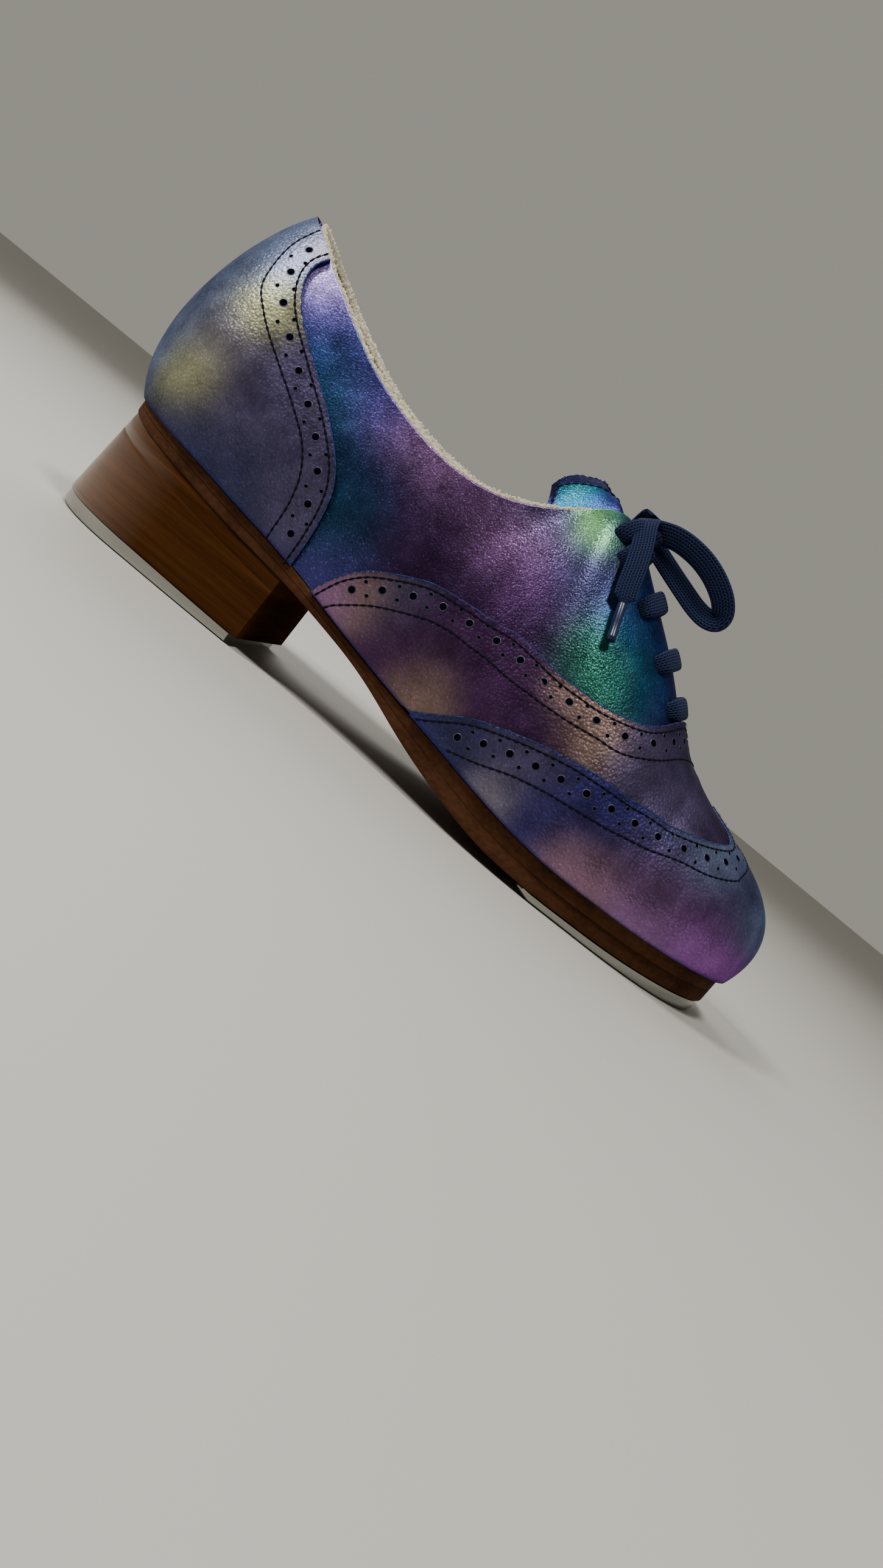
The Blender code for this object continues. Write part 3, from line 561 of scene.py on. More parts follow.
def bordered(count, thickness, deep=0.0009):
    """Shares across an overlay, its height at each, and which of them are raw edge.

    Starts and ends below the leather, climbs the raw edge and rounds over to the face.
    """
    share = np.concatenate([[0, 0, 0, 0.004], np.linspace(0.012, 0.988, count), [0.996, 1, 1, 1]])
    lift = np.full(len(share), thickness)
    lift[:4] = -deep, 0.45 * thickness, 0.85 * thickness, 0.98 * thickness
    lift[-4:] = lift[3::-1]
    raw = np.zeros(len(share))
    raw[:3] = 1, 1, 0.75
    raw[-3:] = raw[2::-1]
    return share, lift, raw


def smooth(points, count=16):
    """A smooth line through a line's own points, with count steps between each two."""
    knots = np.array(points, float)
    ends = np.vstack([2 * knots[0] - knots[1], knots, 2 * knots[-1] - knots[-2]])
    t = np.linspace(0, 1, count, endpoint=False)[:, None]
    parts = []
    for a, b, c, d in zip(ends, ends[1:], ends[2:], ends[3:]):
        bend, twist = 2 * a - 5 * b + 4 * c - d, 3 * b - a - 3 * c + d
        parts.append(0.5 * (2 * b + (c - a) * t + bend * t ** 2 + twist * t ** 3))
    return np.vstack(parts + [knots[-1:]])


def heading(line):
    """Unit vectors along a line of points."""
    ahead = np.gradient(line, axis=0)
    return ahead / np.linalg.norm(ahead, axis=1, keepdims=True)


def run_along(line):
    """Distance along a line, at each of its points."""
    return np.concatenate([[0], np.cumsum(np.linalg.norm(np.diff(line, axis=0), axis=1))])


def evenly(line, spacing):
    """Places at an even spacing on the wall along a line of (q, up) pairs."""
    run = run_along(wall(line[:, 0], line[:, 1]))
    even = np.linspace(0, run[-1], max(2, int(round(run[-1] / spacing))))
    return np.stack([np.interp(even, run, line[:, k]) for k in (0, 1)], -1)


def beside(line, distance):
    """The line of (q, up) pairs moved sideways over the wall, to the left for a viewer outside."""
    places = wall(line[:, 0], line[:, 1])
    sideways = np.cross(outward(line[:, 0], line[:, 1]), heading(places)) * distance
    step = 0.001
    round_way = (wall(line[:, 0] + step, line[:, 1]) - places) / step
    climb = (places - wall(line[:, 0], line[:, 1] - step)) / step
    moved = []
    for k in range(len(line)):
        ways = np.stack([round_way[k], climb[k]], -1)
        moved.append(line[k] + np.linalg.lstsq(ways, sideways[k], rcond=None)[0])
    return np.array(moved)


def half_way(first, second, count):
    """The line midway between two lines of (q, up) pairs, from count even places on each."""
    pick = np.linspace(0, 1, count)
    first, second = evenly(first, 0.0008), evenly(second, 0.0008)
    return (first[(pick * (len(first) - 1)).round().astype(int)]
            + second[(pick * (len(second) - 1)).round().astype(int)]) / 2


thread, tree, main = shader("thread", (0.004, 0.004, 0.013), 0.7)
main.inputs["Specular IOR Level"].default_value = 0.1

STITCH = 0.00175        # length of a stitch
STITCH_STEP = 0.00225   # from one stitch to the next
STITCH_WIDTH = 0.00072
GROOVE_SHADE = 0.00036        # width of the dark strip of painted shade that stands for the pressed line a row of stitches lies in
GROOVE_SHADE_STEP = 0.0007


def sewn(name, lines):
    """Short rounded threads and, below them, a thin dark strip of painted shade for their groove, along
    lines of points and normals.
    """
    spin = np.linspace(0, 2 * np.pi, 8, endpoint=False)[None, None, :, None]
    profile = np.array((0.0, 0.75, 1.0, 1.0, 0.75, 0.0))[None, :, None, None]
    ends = np.array((-1.0, -0.85, -0.45, 0.45, 0.85, 1.0))[None, :, None, None]
    points, faces, base = [], [], 0
    for line, normals in lines:
        run = run_along(line)
        for spacing, kind in ((STITCH_STEP, "stitch"), (GROOVE_SHADE_STEP, "groove")):
            even = np.linspace(0, run[-1], max(3, int(round(run[-1] / spacing))))
            middle = np.stack([np.interp(even, run, line[:, k]) for k in range(3)], -1)
            normal = np.stack([np.interp(even, run, normals[:, k]) for k in range(3)], -1)
            ahead = heading(middle)
            side = np.cross(normal, ahead)
            # the groove is a flat dark strip in the thread's colour: painted shade
            if kind == "groove":
                middle = middle + normal * 0.00004
                pair = np.stack([middle - side * GROOVE_SHADE / 2, middle + side * GROOVE_SHADE / 2], 1)
                points.append(pair.reshape(-1, 3))
                faces.append(quads(len(middle), 2) + base)
                base += 2 * len(middle)
                continue
            middle, ahead, side, normal = (v[:, None, None, :] for v in (middle, ahead, side, normal))
            ring = np.cos(spin) * side + 0.7 * np.sin(spin) * normal
            body = middle + ends * STITCH / 2 * ahead + ring * profile * STITCH_WIDTH / 2
            for one in body:
                points.append(one.reshape(-1, 3))
                faces.append(quads(*one.shape[:2], round_rows=True) + base)
                base += one.shape[0] * one.shape[1]
    made = show(name, np.concatenate(points), np.concatenate(faces), thread)
    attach(made, "root")
    return made


def stitches(name, rows, lift):
    """Rows of stitches along lines of (q, up) on the wall, at one height."""
    rows = [evenly(np.asarray(row, float), 0.0007) for row in rows]
    lines = [(creased(row[:, 0], row[:, 1], lift), outward(row[:, 0], row[:, 1])) for row in rows]
    return sewn(name, lines)


RAW_TONES = (0.34, (0.006, 0.010, 0.050), 0.66, (0.032, 0.050, 0.230))
raw_look, tree, main = napped("raw_edge", (0.02, 0.03, 0.2), 0.95, 1500, RAW_TONES, 0.8, 0.0003)

RAW_WIDTH = 0.00085     # of the ragged edge, seen from the front
FIBRE = 0.00007
FIBRE_FACES = ((0, 1, 2, 3), (1, 4, 5, 2), (4, 0, 3, 5), (3, 2, 6, 6), (2, 5, 6, 6), (5, 3, 6, 6))


def ragged(name, rows, lift, left=True, stray=2.5):
    """The napped, slightly ragged cut edge of an overlay, with a few stray fibres to the centimetre.

    rows are lines of (q, up) along the overlay's edge; left says on which side of the line the
    leather below lies.
    """
    points, faces, base = [], [], 0
    for row in rows:
        line = evenly(row, 0.0005)
        places = creased(line[:, 0], line[:, 1], 0.0)
        normal = outward(line[:, 0], line[:, 1])
        ahead = heading(places)
        away = np.cross(normal, ahead) * (1 if left else -1)
        count = len(line)
        wave = np.convolve(chance.standard_normal(count + 8), np.ones(3) / 3, "same")[4:-4]
        width = RAW_WIDTH * (1 + 0.22 * wave)[:, None]
        high = lift * (1 + 0.06 * chance.standard_normal(count))[:, None]
        body = np.stack([places + normal * (lift + 0.00003) - away * 0.00012,
                         places + normal * (high + 0.00008) + away * width * 0.20,
                         places + normal * high * 0.80 + away * width * 0.70,
                         places + normal * high * 0.40 + away * width,
                         places - normal * 0.0002 + away * width * 1.02], 1)
        points.append(body.reshape(-1, 3))
        faces.append(quads(count, 5) + base)
        base += 5 * count
        # stray fibres: bent three-sided spikes
        number = int(np.linalg.norm(np.diff(places, axis=0), axis=1).sum() * 1000 * stray)
        at = chance.integers(1, count - 1, number)
        reach = chance.uniform(0.0004, 0.0013, number)[:, None]
        heading_out = (away[at] * chance.uniform(0.2, 1.2, number)[:, None] + normal[at] * 0.5
                       + ahead[at] * chance.uniform(-1, 1, number)[:, None])
        root = body[at, 1]
        knee = root + heading_out * reach * 0.5
        bend = ahead[at] * chance.uniform(-0.9, 0.9, number)[:, None]
        tip = knee + (heading_out + bend) * reach * 0.5
        side = np.cross(heading_out, normal[at])
        side /= np.linalg.norm(side, axis=1, keepdims=True)
        thick = FIBRE / 2
        body = np.stack([root - side * thick, root + side * thick, knee + side * thick,
                         knee - side * thick, root + normal[at] * thick, knee + normal[at] * thick, tip], 1)
        points.append(body.reshape(-1, 3))
        spikes = (np.arange(number) * 7)[:, None, None] + np.array(FIBRE_FACES)[None] + base
        faces.append(spikes.reshape(-1, 4))
        base += 7 * number
    made = show(name, np.concatenate(points), np.concatenate(faces), raw_look)
    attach(made, "root")
    return made


# the holes' dark dishes are painted shade: nothing is cut, their black stands for the shade inside each
# hole
hole_shade_look, tree, main = shader("hole", (0.002, 0.002, 0.006), 1.0)
main.inputs["Specular IOR Level"].default_value = 0.0
brim_look, tree, main = shader("hole_brim", (0.075, 0.075, 0.115), 0.38, 0.6)
HOLE = 0.00215          # large punched hole
PINHOLE = 0.00108


def holes(name, spots, lift):
    """Punched holes: dark dishes of painted shade that stand for each hole's depth, each with a narrow
    pressed brim that catches light.

    Each spot is q, up and the hole's diameter.
    """
    spin = np.linspace(0, 2 * np.pi, 16, endpoint=False)
    radii = np.array((0.02, 0.60, 1.00, 1.10, 1.26))
    height = np.array((0.00003, 0.00003, 0.00004, 0.00011, -0.00002))
    points, faces, base = [], [], 0
    for at, up, size in spots:
        middle = creased(at, up, lift)
        normal = outward(at, up)
        ahead = creased(at + 0.002, up, lift) - middle
        ahead /= np.linalg.norm(ahead)
        side = np.cross(normal, ahead)
        ring = np.cos(spin)[:, None] * ahead + np.sin(spin)[:, None] * side
        body = middle + ring[None] * radii[:, None, None] * size / 2 + normal * height[:, None, None]
        points.append(body.reshape(-1, 3))
        faces.append(quads(len(radii), len(spin), round_rows=True) + base)
        base += len(radii) * len(spin)
    made = show(name, np.concatenate(points), np.concatenate(faces), hole_shade_look)
    made.data.materials.append(brim_look)
    row = np.arange(len(made.data.polygons)) // len(spin) % (len(radii) - 1)
    made.data.polygons.foreach_set("material_index", (row >= 2).astype(int))
    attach(made, "root")
    return made


def punched(line, count, first, last, apart):
    """Large holes along a line on both sides of the shoe, with a pair of pinholes between each two.

    first and last are the shares of the line at which the holes start and end.
    """
    fine = evenly(line, 0.0004)
    chosen = (np.linspace(first, last, 2 * count - 1) * (len(fine) - 1)).round().astype(int)
    left, right = beside(fine, apart), beside(fine, -apart)
    found = [(*fine[k], HOLE) for k in chosen[::2]]
    found += [(*side[k], PINHOLE) for side in (left, right) for k in chosen[1::2]]
    return [(sign * at, up, size) for sign in (-1, 1) for at, up, size in found]


# Heel counter: dusty lavender with pale gold highlights and, low down, darker shade painted into its tints,
# curved front edges and a brogued band.
COUNTER_EDGE = np.array((
    (0.682, 0.000), (0.683, 0.150), (0.688, 0.310), (0.698, 0.440), (0.718, 0.555),
    (0.752, 0.665), (0.790, 0.730), (0.825, 0.775), (0.846, 0.825), (0.858, 0.880),
    (0.861, 0.940), (0.855, 1.000),
))
COUNTER_ROW = (
    (0.718, 0.013), (0.720, 0.175), (0.730, 0.325), (0.750, 0.438), (0.780, 0.513), (0.810, 0.562),
    (0.838, 0.600), (0.863, 0.644), (0.882, 0.688), (0.895, 0.775), (0.907, 0.881), (0.910, 0.994),
)
# the gold spots are painted highlights; the slate spots low down are painted shade
COUNTER_TINTS_AND_PAINTED_LIGHT = (
    (-0.017, 0.084, 0.0060, GOLD_HIGHLIGHT), (-0.022, 0.057, 0.0065, GOLD_HIGHLIGHT), (-0.021, 0.069, 0.0070, SILVER),
    (-0.027, 0.112, 0.0070, STEEL), (-0.018, 0.108, 0.0045, SILVER), (-0.038, 0.066, 0.0090, STEEL),
    (-0.030, 0.095, 0.0090, STEEL), (-0.002, 0.062, 0.0090, DUSK), (-0.014, 0.044, 0.0080, SLATE),
    (0.009, 0.040, 0.0080, SLATE), (0.006, 0.069, 0.0080, DUSK), (0.026, 0.050, 0.0080, DUSK),
)
share, lift, raw = bordered(70, OVERLAY)
keep = len(share) - 4
up = np.linspace(0, 1, 110)
edge = smooth(COUNTER_EDGE)
start = np.interp(up, edge[:, 1], edge[:, 0])
one = share[:keep, None] * (1 - start)[None, :] + start[None, :]
one[-1] = 1.0
q = np.concatenate([-one, one[-2::-1]])
heights = np.concatenate([lift[:keep], lift[keep - 2::-1]])
rawness = np.concatenate([raw[:keep], raw[keep - 2::-1]])[:, None]
rawness = rawness + np.clip(1 - up / FOOT_EDGE, 0, 1)[None, :]
grid = creased(q, up[None, :], (heights + SKIN_GAP)[:, None])
counter = show("counter", grid, quads(*grid.shape[:2]), panel_leather, flip=True)
tinted(counter, COUNTER_TINTS_AND_PAINTED_LIGHT, SLATE, np.clip(rawness, 0, 1).ravel(), RAW_EDGE)
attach(counter, "root")
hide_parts("heel_counter")

inner_row = smooth(COUNTER_ROW)
edge_row = beside(edge, -SEAM_INSET)
rows = [line[line[:, 1] < 0.99] * (sign, 1) for sign in (-1, 1) for line in (edge_row, inner_row)]
stitches("counter_stitches", rows, SKIN_GAP + OVERLAY)
middle = half_way(edge, inner_row, 60)
holes("counter_holes", punched(middle, 10, 0.06, 0.95, 0.0024), SKIN_GAP + OVERLAY)
rim_line = edge[edge[:, 1] < 0.995]
ragged("counter_raw_edge", [rim_line, rim_line * (-1, 1)], SKIN_GAP + OVERLAY,
       stray=1.0)

# Vamp: dusty mauve with gold-bronze highlights painted into its tints, from the wing tip's edge to its own
# curved top edge.
WING_EDGE = (
    (0.000, 0.830), (0.040, 0.765), (0.080, 0.675), (0.110, 0.600), (0.155, 0.540),
    (0.190, 0.500), (0.240, 0.440), (0.275, 0.372), (0.310, 0.318), (0.343, 0.272),
    (0.377, 0.220), (0.410, 0.168), (0.445, 0.112), (0.475, 0.050), (0.492, 0.014),
)
VAMP_EDGE = (
    (0.262, 1.000), (0.270, 0.970), (0.276, 0.920), (0.283, 0.800), (0.295, 0.650), (0.312, 0.545),
    (0.343, 0.456), (0.377, 0.400), (0.410, 0.364), (0.445, 0.345), (0.480, 0.362),
    (0.518, 0.415), (0.552, 0.440), (0.580, 0.400), (0.613, 0.290), (0.635, 0.160),
    (0.650, 0.014),
)
VAMP_ROW = (
    (0.238, 0.960), (0.255, 0.763), (0.277, 0.569), (0.307, 0.431), (0.343, 0.363), (0.377, 0.312),
    (0.410, 0.275), (0.445, 0.250), (0.480, 0.263), (0.518, 0.294), (0.548, 0.278), (0.587, 0.188),
    (0.620, 0.056), (0.628, 0.012),
)
# tints of the vamp, with its gold-bronze gleams painted in as highlights
VAMP_TINTS_AND_PAINTED_LIGHT = (
    (0.052, 0.034, 0.0050, MAUVE), (0.058, 0.038, 0.0060, BRONZE), (0.078, 0.036, 0.0085, PLUM),
    (0.068, 0.044, 0.0055, DUSK), (0.104, 0.047, 0.0090, PLUM), (0.090, 0.026, 0.0060, BRONZE),
    (0.124, 0.054, 0.0050, BRONZE), (0.138, 0.053, 0.0050, BRONZE), (0.147, 0.055, 0.0045, DUSK),
    (0.122, 0.037, 0.0080, PLUM), (0.138, 0.046, 0.0060, BRONZE), (0.152, 0.045, 0.0060, DUSK),
    (0.169, 0.049, 0.0070, DUSK), (0.160, 0.057, 0.0070, DUSK),
)
wing_line, vamp_line = smooth(WING_EDGE), smooth(VAMP_EDGE)
first, last = VAMP_EDGE[0][0], VAMP_EDGE[-1][0]
half = np.unique(np.concatenate([np.linspace(0, 0.26, 70), np.linspace(0.26, 0.30, 40),
                                 np.linspace(0.30, last, 130)]))
q = np.concatenate([-half[:0:-1], half])
at = np.abs(q)
low = np.interp(at, wing_line[:, 0], wing_line[:, 1], right=0.0)
low = np.where(at < wing_line[-1, 0], low, np.clip(FOOT_EDGE - (at - wing_line[-1, 0]), 0, 1))
high = np.interp(at, vamp_line[:, 0], vamp_line[:, 1])
share, lift, raw = bordered(44, OVERLAY)
raw[:4] = 0
up = low[:, None] + (high - low)[:, None] * share[None, :]
rawness = np.clip(raw[None, :] * (at > first)[:, None] + np.clip(1 - up / FOOT_EDGE, 0, 1), 0, 1)
grid = creased(q[:, None], up, (lift + SKIN_GAP)[None, :])
vamp = show("vamp_leather", grid, quads(*grid.shape[:2]), panel_leather)
tinted(vamp, VAMP_TINTS_AND_PAINTED_LIGHT, PLUM, rawness.ravel(), RAW_EDGE)
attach(vamp, "root")
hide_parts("vamp")

lower_row = smooth(VAMP_ROW)
edge_row = beside(vamp_line, -SEAM_INSET)
edge_row = edge_row[(edge_row[:, 1] < 0.985) & (edge_row[:, 1] > 0.012)]
rows = [line * (sign, 1) for sign in (-1, 1) for line in (edge_row, lower_row)]
stitches("vamp_stitches", rows, SKIN_GAP + OVERLAY)
edge_part = vamp_line[(vamp_line[:, 0] > 0.264) & (vamp_line[:, 1] > 0.02)]
middle = half_way(edge_part, lower_row, 120)
holes("vamp_holes", punched(middle, 15, 0.02, 0.93, 0.0021), SKIN_GAP + OVERLAY)
rim_line = vamp_line[vamp_line[:, 1] < 0.995]
ragged("vamp_raw_edge", [rim_line, rim_line * (-1, 1)], SKIN_GAP + OVERLAY, left=True)

# Wing tip: violet blue with mauve and pink highlights and darker spots of shade painted into its tints,
# thicker than the vamp that it laps over.
WING_ROW = (
    (0.000, 0.640), (0.045, 0.570), (0.093, 0.475), (0.112, 0.425), (0.155, 0.375), (0.200, 0.350),
    (0.240, 0.294), (0.275, 0.238), (0.310, 0.194), (0.343, 0.156), (0.375, 0.113), (0.410, 0.056),
    (0.438, 0.019),
)
# tints of the wing tip, with painted highlights in pink and mauve and painted shade in slate
WING_TINTS_AND_PAINTED_LIGHT = (
    (0.108, 0.026, 0.0060, SLATE), (0.127, 0.032, 0.0080, DUSK), (0.125, 0.018, 0.0045, SILVER),
    (0.140, 0.024, 0.0060, INDIGO), (0.152, 0.018, 0.0050, ROSE), (0.163, 0.017, 0.0055, ROSE),
    (0.150, 0.035, 0.0080, INDIGO), (0.174, 0.036, 0.0080, SLATE), (0.178, 0.022, 0.0080, MAUVE),
    (0.197, 0.025, 0.0065, ORCHID), (0.208, 0.020, 0.0050, ORCHID), (0.200, 0.038, 0.0070, SLATE),
    (0.212, 0.036, 0.0060, STEEL), (0.190, 0.046, 0.0080, STEEL),
)
last = WING_EDGE[-1][0]
half = np.concatenate([np.linspace(0, 0.25, 110), np.linspace(0.25, last, 90)[1:]])
q = np.concatenate([-half[:0:-1], half])
at = np.abs(q)
high = np.interp(at, wing_line[:, 0], wing_line[:, 1])
share, lift, raw = bordered(56, TIP_LEATHER)
raw[:4] = 0
up = high[:, None] * share[None, :]
rawness = np.clip(raw[None, :] + np.clip(1 - up / FOOT_EDGE, 0, 1), 0, 1)
grid = creased(q[:, None], up, (lift + SKIN_GAP)[None, :])
wing = show("wing_leather", grid, quads(*grid.shape[:2]), panel_leather)
tinted(wing, WING_TINTS_AND_PAINTED_LIGHT, INDIGO, rawness.ravel(), RAW_EDGE)
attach(wing, "root")
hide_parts("wing_tip")

lower_row = smooth(WING_ROW)
edge_row = beside(wing_line, -SEAM_INSET)
edge_row = edge_row[(edge_row[:, 0] > 0) & (edge_row[:, 1] > 0.012)]
rows = [line * (sign, 1) for sign in (-1, 1) for line in (edge_row, lower_row)]
stitches("wing_stitches", rows, SKIN_GAP + TIP_LEATHER)
middle = half_way(wing_line, lower_row, 120)
holes("wing_holes", punched(middle, 15, 0.03, 0.93, 0.0024), SKIN_GAP + TIP_LEATHER)
ragged("wing_raw_edge", [wing_line, wing_line * (-1, 1)], SKIN_GAP + TIP_LEATHER,
       left=True)

# Tongue: glossy teal leather with a raw blue edge, which rises free behind the top eyelets.
TONGUE = 0.0024
TONGUE_UNDER = (0.296, 0.315, 0.340, 0.370, 0.400, 0.428)
TONGUE_FREE = (
    # far upper edge x, y, z; near lower edge x, y, z, inside the collar; crown
    (0.0992, 0.0105, 0.1045, 0.1052, -0.0085, 0.1010, 0.0036),
    (0.0955, 0.0070, 0.1085, 0.1012, -0.0070, 0.1026, 0.0030),
    (0.0928, 0.0062, 0.1102, 0.0982, -0.0065, 0.1008, 0.0024),
    (0.0896, 0.0060, 0.1110, 0.0945, -0.0062, 0.0985, 0.0020),
    (0.0851, 0.0060, 0.1095, 0.0905, -0.0060, 0.0960, 0.0017),
    (0.0812, 0.0055, 0.1070, 0.0868, -0.0056, 0.0942, 0.0013),
    (0.0786, 0.0046, 0.1036, 0.0838, -0.0050, 0.0932, 0.0008),
    (0.0776, 0.0036, 0.1000, 0.0815, -0.0044, 0.0928, 0.0004),
)
TONGUE_RIM = 12         # grid steps of the raw rim
TONGUE_STEPS = 7        # grid steps between two of the tongue's rows
TONGUE_INSET = WALL + 0.0011
TONGUE_TINTS = (
    (0.086, 0.106, 0.0035, AQUA), (0.092, 0.105, 0.0035, BLUE), (0.099, 0.104, 0.0050, INDIGO),
    (0.086, 0.099, 0.0040, TEAL),
)
across = np.linspace(0, 1, 5)
columns = []
for at in TONGUE_UNDER:
    up = 1 - 0.26 * across
    inner = wall(at, up) - outward(at, up) * TONGUE_INSET
    outer = wall(-at, up) - outward(-at, up) * TONGUE_INSET
    columns.append(np.vstack([inner[::-1], outer]))
t = np.linspace(0, 1, 10)[:, None]
for row in TONGUE_FREE:
    top, low = np.array(row[:3]), np.array(row[3:6])
    columns.append(top + (low - top) * t + np.array((0, -0.65, 0.76)) * 4 * t * (1 - t) * row[6])
along = np.stack([smooth(line, TONGUE_STEPS) for line in np.array(columns).transpose(1, 0, 2)], 1)
face = np.stack([smooth(column, 5) for column in along])
normal = np.cross(np.gradient(face, axis=0), np.gradient(face, axis=1))
normal /= np.linalg.norm(normal, axis=-1, keepdims=True)
normal *= np.sign(normal[..., 2].mean())
count = face.shape[1]
free_from = TONGUE_STEPS * len(TONGUE_UNDER)
free = np.arange(len(face)) >= free_from
ragged_by = 0.00025 * chance.standard_normal(face.shape[:2])
ragged_by[:, 2:-2] = 0
face[..., 2] += ragged_by * free[:, None]
half = face - normal * TONGUE / 2
bulge = (half[:, 0] - half[:, 1]) * 1.2, (half[:, -1] - half[:, -2]) * 1.2
ring = np.concatenate([face, half[:, -1:] + bulge[1][:, None], (face - normal * TONGUE)[:, ::-1],
                       half[:, :1] + bulge[0][:, None]], 1)
tip = half[-1] + (half[-1] - half[-2]) * 0.9
ring = np.concatenate([ring, np.concatenate([tip, tip[-1:], tip[::-1], tip[:1]])[None]], 0)
rawness = np.zeros(ring.shape[:2])
rawness[-8:] = 1
rawness[free_from:, :TONGUE_RIM] = 1
rawness[free_from:, count:] = 1
tongue = show("tongue_leather", ring, quads(*ring.shape[:2], round_rows=True), quarter_leather, sharp=60)
tinted(tongue, TONGUE_TINTS, TEAL, rawness.ravel(), NAVY)
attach(tongue, "root")
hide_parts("tongue")
edge_row, edge_out = (np.concatenate([part[free_from + 3:-5, TONGUE_RIM + 1], part[-5, TONGUE_RIM + 2:-4]])
                      for part in (face, normal))
sewn("tongue_stitches", [(edge_row + edge_out * 0.0001, edge_out)])

# Insole: the part's own piece in the lining's fleece.
insole = nodes["insole"]
insole.data.materials.clear()
insole.data.materials.append(fleece)


# Sole: brown leather cut square, its fibres showing, with a faint line between its two layers.
def sole_edge(at, grow, height):
    """Outer and inner points beside the sole's edge, at one share of the way."""
    ends = []
    for sign in (-1, 1):
        _, side, x, y, along, cross = plan(sign * at + sign * 1e-9)
        foot = section("outer" if sign < 0 else "inner", at) * BALL_WIDTH
        reach = foot + grow
        ends.append(np.stack([x + reach * along, y + reach * cross, height], -1))
    return ends


def feather(at):
    return section("feather", at) * HEEL_LIFT


SOLE_FULL = 0.0100
SOLE_THICKNESS = (
    (0.000, 0.955), (0.080, 0.935), (0.160, 0.925), (0.228, 0.925), (0.300, 0.920),
    (0.360, 0.985), (0.400, 0.960), (0.455, 0.860), (0.500, 0.670), (0.545, 0.450),
    (0.580, 0.370), (0.620, 0.390), (0.660, 0.460), (0.700, 0.540), (1.000, 0.550),
)
SOLE_PROUD = 0.0005


def sole_under(at):
    return feather(at) - GAP - through(at, SOLE_THICKNESS) * SOLE_FULL


def ringed(at, rows):
    """Rings across the sole or heel, one at each share of the way.

    Each row is how far it stands outside the sole's edge and its height, from the bottom face's edge
    up to the top face's edge. The rings close across both faces.
    """
    outer, inner = zip(*[sole_edge(at, grow, height) for grow, height in rows])
    outer, inner = np.stack(outer, 1), np.stack(inner, 1)
    t = np.linspace(0, 1, 14)[1:-1, None]
    over_top = outer[:, -1:] * (1 - t) + inner[:, -1:] * t
    below = inner[:, :1] * (1 - t) + outer[:, :1] * t
    return np.concatenate([outer, over_top, inner[:, ::-1], below], 1)


sole_look, tree, main = shader("sole_leather", (0.10, 0.04, 0.02), 0.95)
place = node(tree, "TexCoord").outputs["Object"]
stretch = node(tree, "Mapping", {"Vector": place, "Scale": (0.8, 0.8, 1.3)}).outputs["Vector"]
fibre = noise(tree, stretch, 650, 6)
blend = reckon(tree, "MULTIPLY", reckon(tree, "ADD", fibre, noise(tree, place, 90)), 0.5)
colour = two_tone(tree, blend, 0.32, (0.040, 0.015, 0.006), 0.70, (0.100, 0.040, 0.017))
plug(tree, main, {"Base Color": colour, "Normal": bump(tree, fibre, 0.6, 0.0004),
                  "Specular IOR Level": 0.12})

at = np.linspace(0, 1, 260)
top, under = feather(at) - GAP, sole_under(at)
tall = top - under
rows = [(SOLE_PROUD - 0.0005, under), (SOLE_PROUD - 0.0002, under + 0.0001),
        (SOLE_PROUD, under + 0.0005), (SOLE_PROUD, under + 0.47 * tall),
        (SOLE_PROUD - 0.00025, under + 0.50 * tall), (SOLE_PROUD, under + 0.53 * tall),
        (SOLE_PROUD, top - 0.0005), (SOLE_PROUD - 0.0006, top)]
grid = ringed(at, rows)
sole = show("sole", grid, quads(*grid.shape[:2], round_rows=True), sole_look, sharp=50, flip=True)
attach(sole, "root")
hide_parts("outsole")

# Heel: varnished reddish-brown wood with level grain, painted paler towards the back where the light falls;
# a thin line parts its seat layer from the block.
BREAST = 0.0365
HEEL_SPREAD = 0.0034
HEEL_SPREAD_SIDE = 0.0004
HEEL_TAP_FRONT = 0.0032
HEEL_TAP_BACK = 0.0050
SEAT = 0.0056

WOOD_TONES = (0.34, (0.030, 0.010, 0.003), 0.66, (0.082, 0.032, 0.009))
wood, tree, main = shader("heel_wood", (0.2, 0.08, 0.04), 0.34)
place = node(tree, "TexCoord").outputs["Object"]
stretch = node(tree, "Mapping", {"Vector": place, "Scale": (7, 7, 260)}).outputs["Vector"]
broad = noise(tree, stretch, 1.6, 3)
fine = noise(tree, stretch, 9, 6, 0.7)
grain = node(tree, "Mix", {"Factor": 0.45, "A": broad, "B": fine}).outputs["Result"]
length_way = node(tree, "SeparateXYZ", {"Vector": place}).outputs["X"]
# painted light: the wood is paler towards the back, where the light falls on it
painted_back_light = ranged(tree, length_way, (-0.044, 0.004), (2.0, 1.0), interpolation_type="SMOOTHSTEP")
colour = vector(tree, "SCALE", {0: two_tone(tree, grain, *WOOD_TONES), "Scale": painted_back_light})
varnish = ranged(tree, length_way, (-0.026, -0.004), (0.5, 0.0))    # the breast stays dull
plug(tree, main, {"Base Color": colour, "Normal": bump(tree, fine, 0.12, 0.0003),
                  "Coat Weight": varnish, "Specular IOR Level": varnish, "Coat Roughness": 0.16})


def way_at(x):
    """Share of the way at which the straight part passes a place along the foot."""
    return (TOE_ARC + TOE_X - x) / HALF_WAY


def heel_grow(at, share):
    """How far the heel's wall stands outside the sole's edge, share 0 top to 1 bottom."""
    back = np.clip((at - way_at(HEEL_X)) * HALF_WAY / HEEL_ARC, 0, 1)
    more = (HEEL_SPREAD - HEEL_SPREAD_SIDE) * np.sin(back * math.pi / 2) ** 2
    return share * (HEEL_SPREAD_SIDE + more)


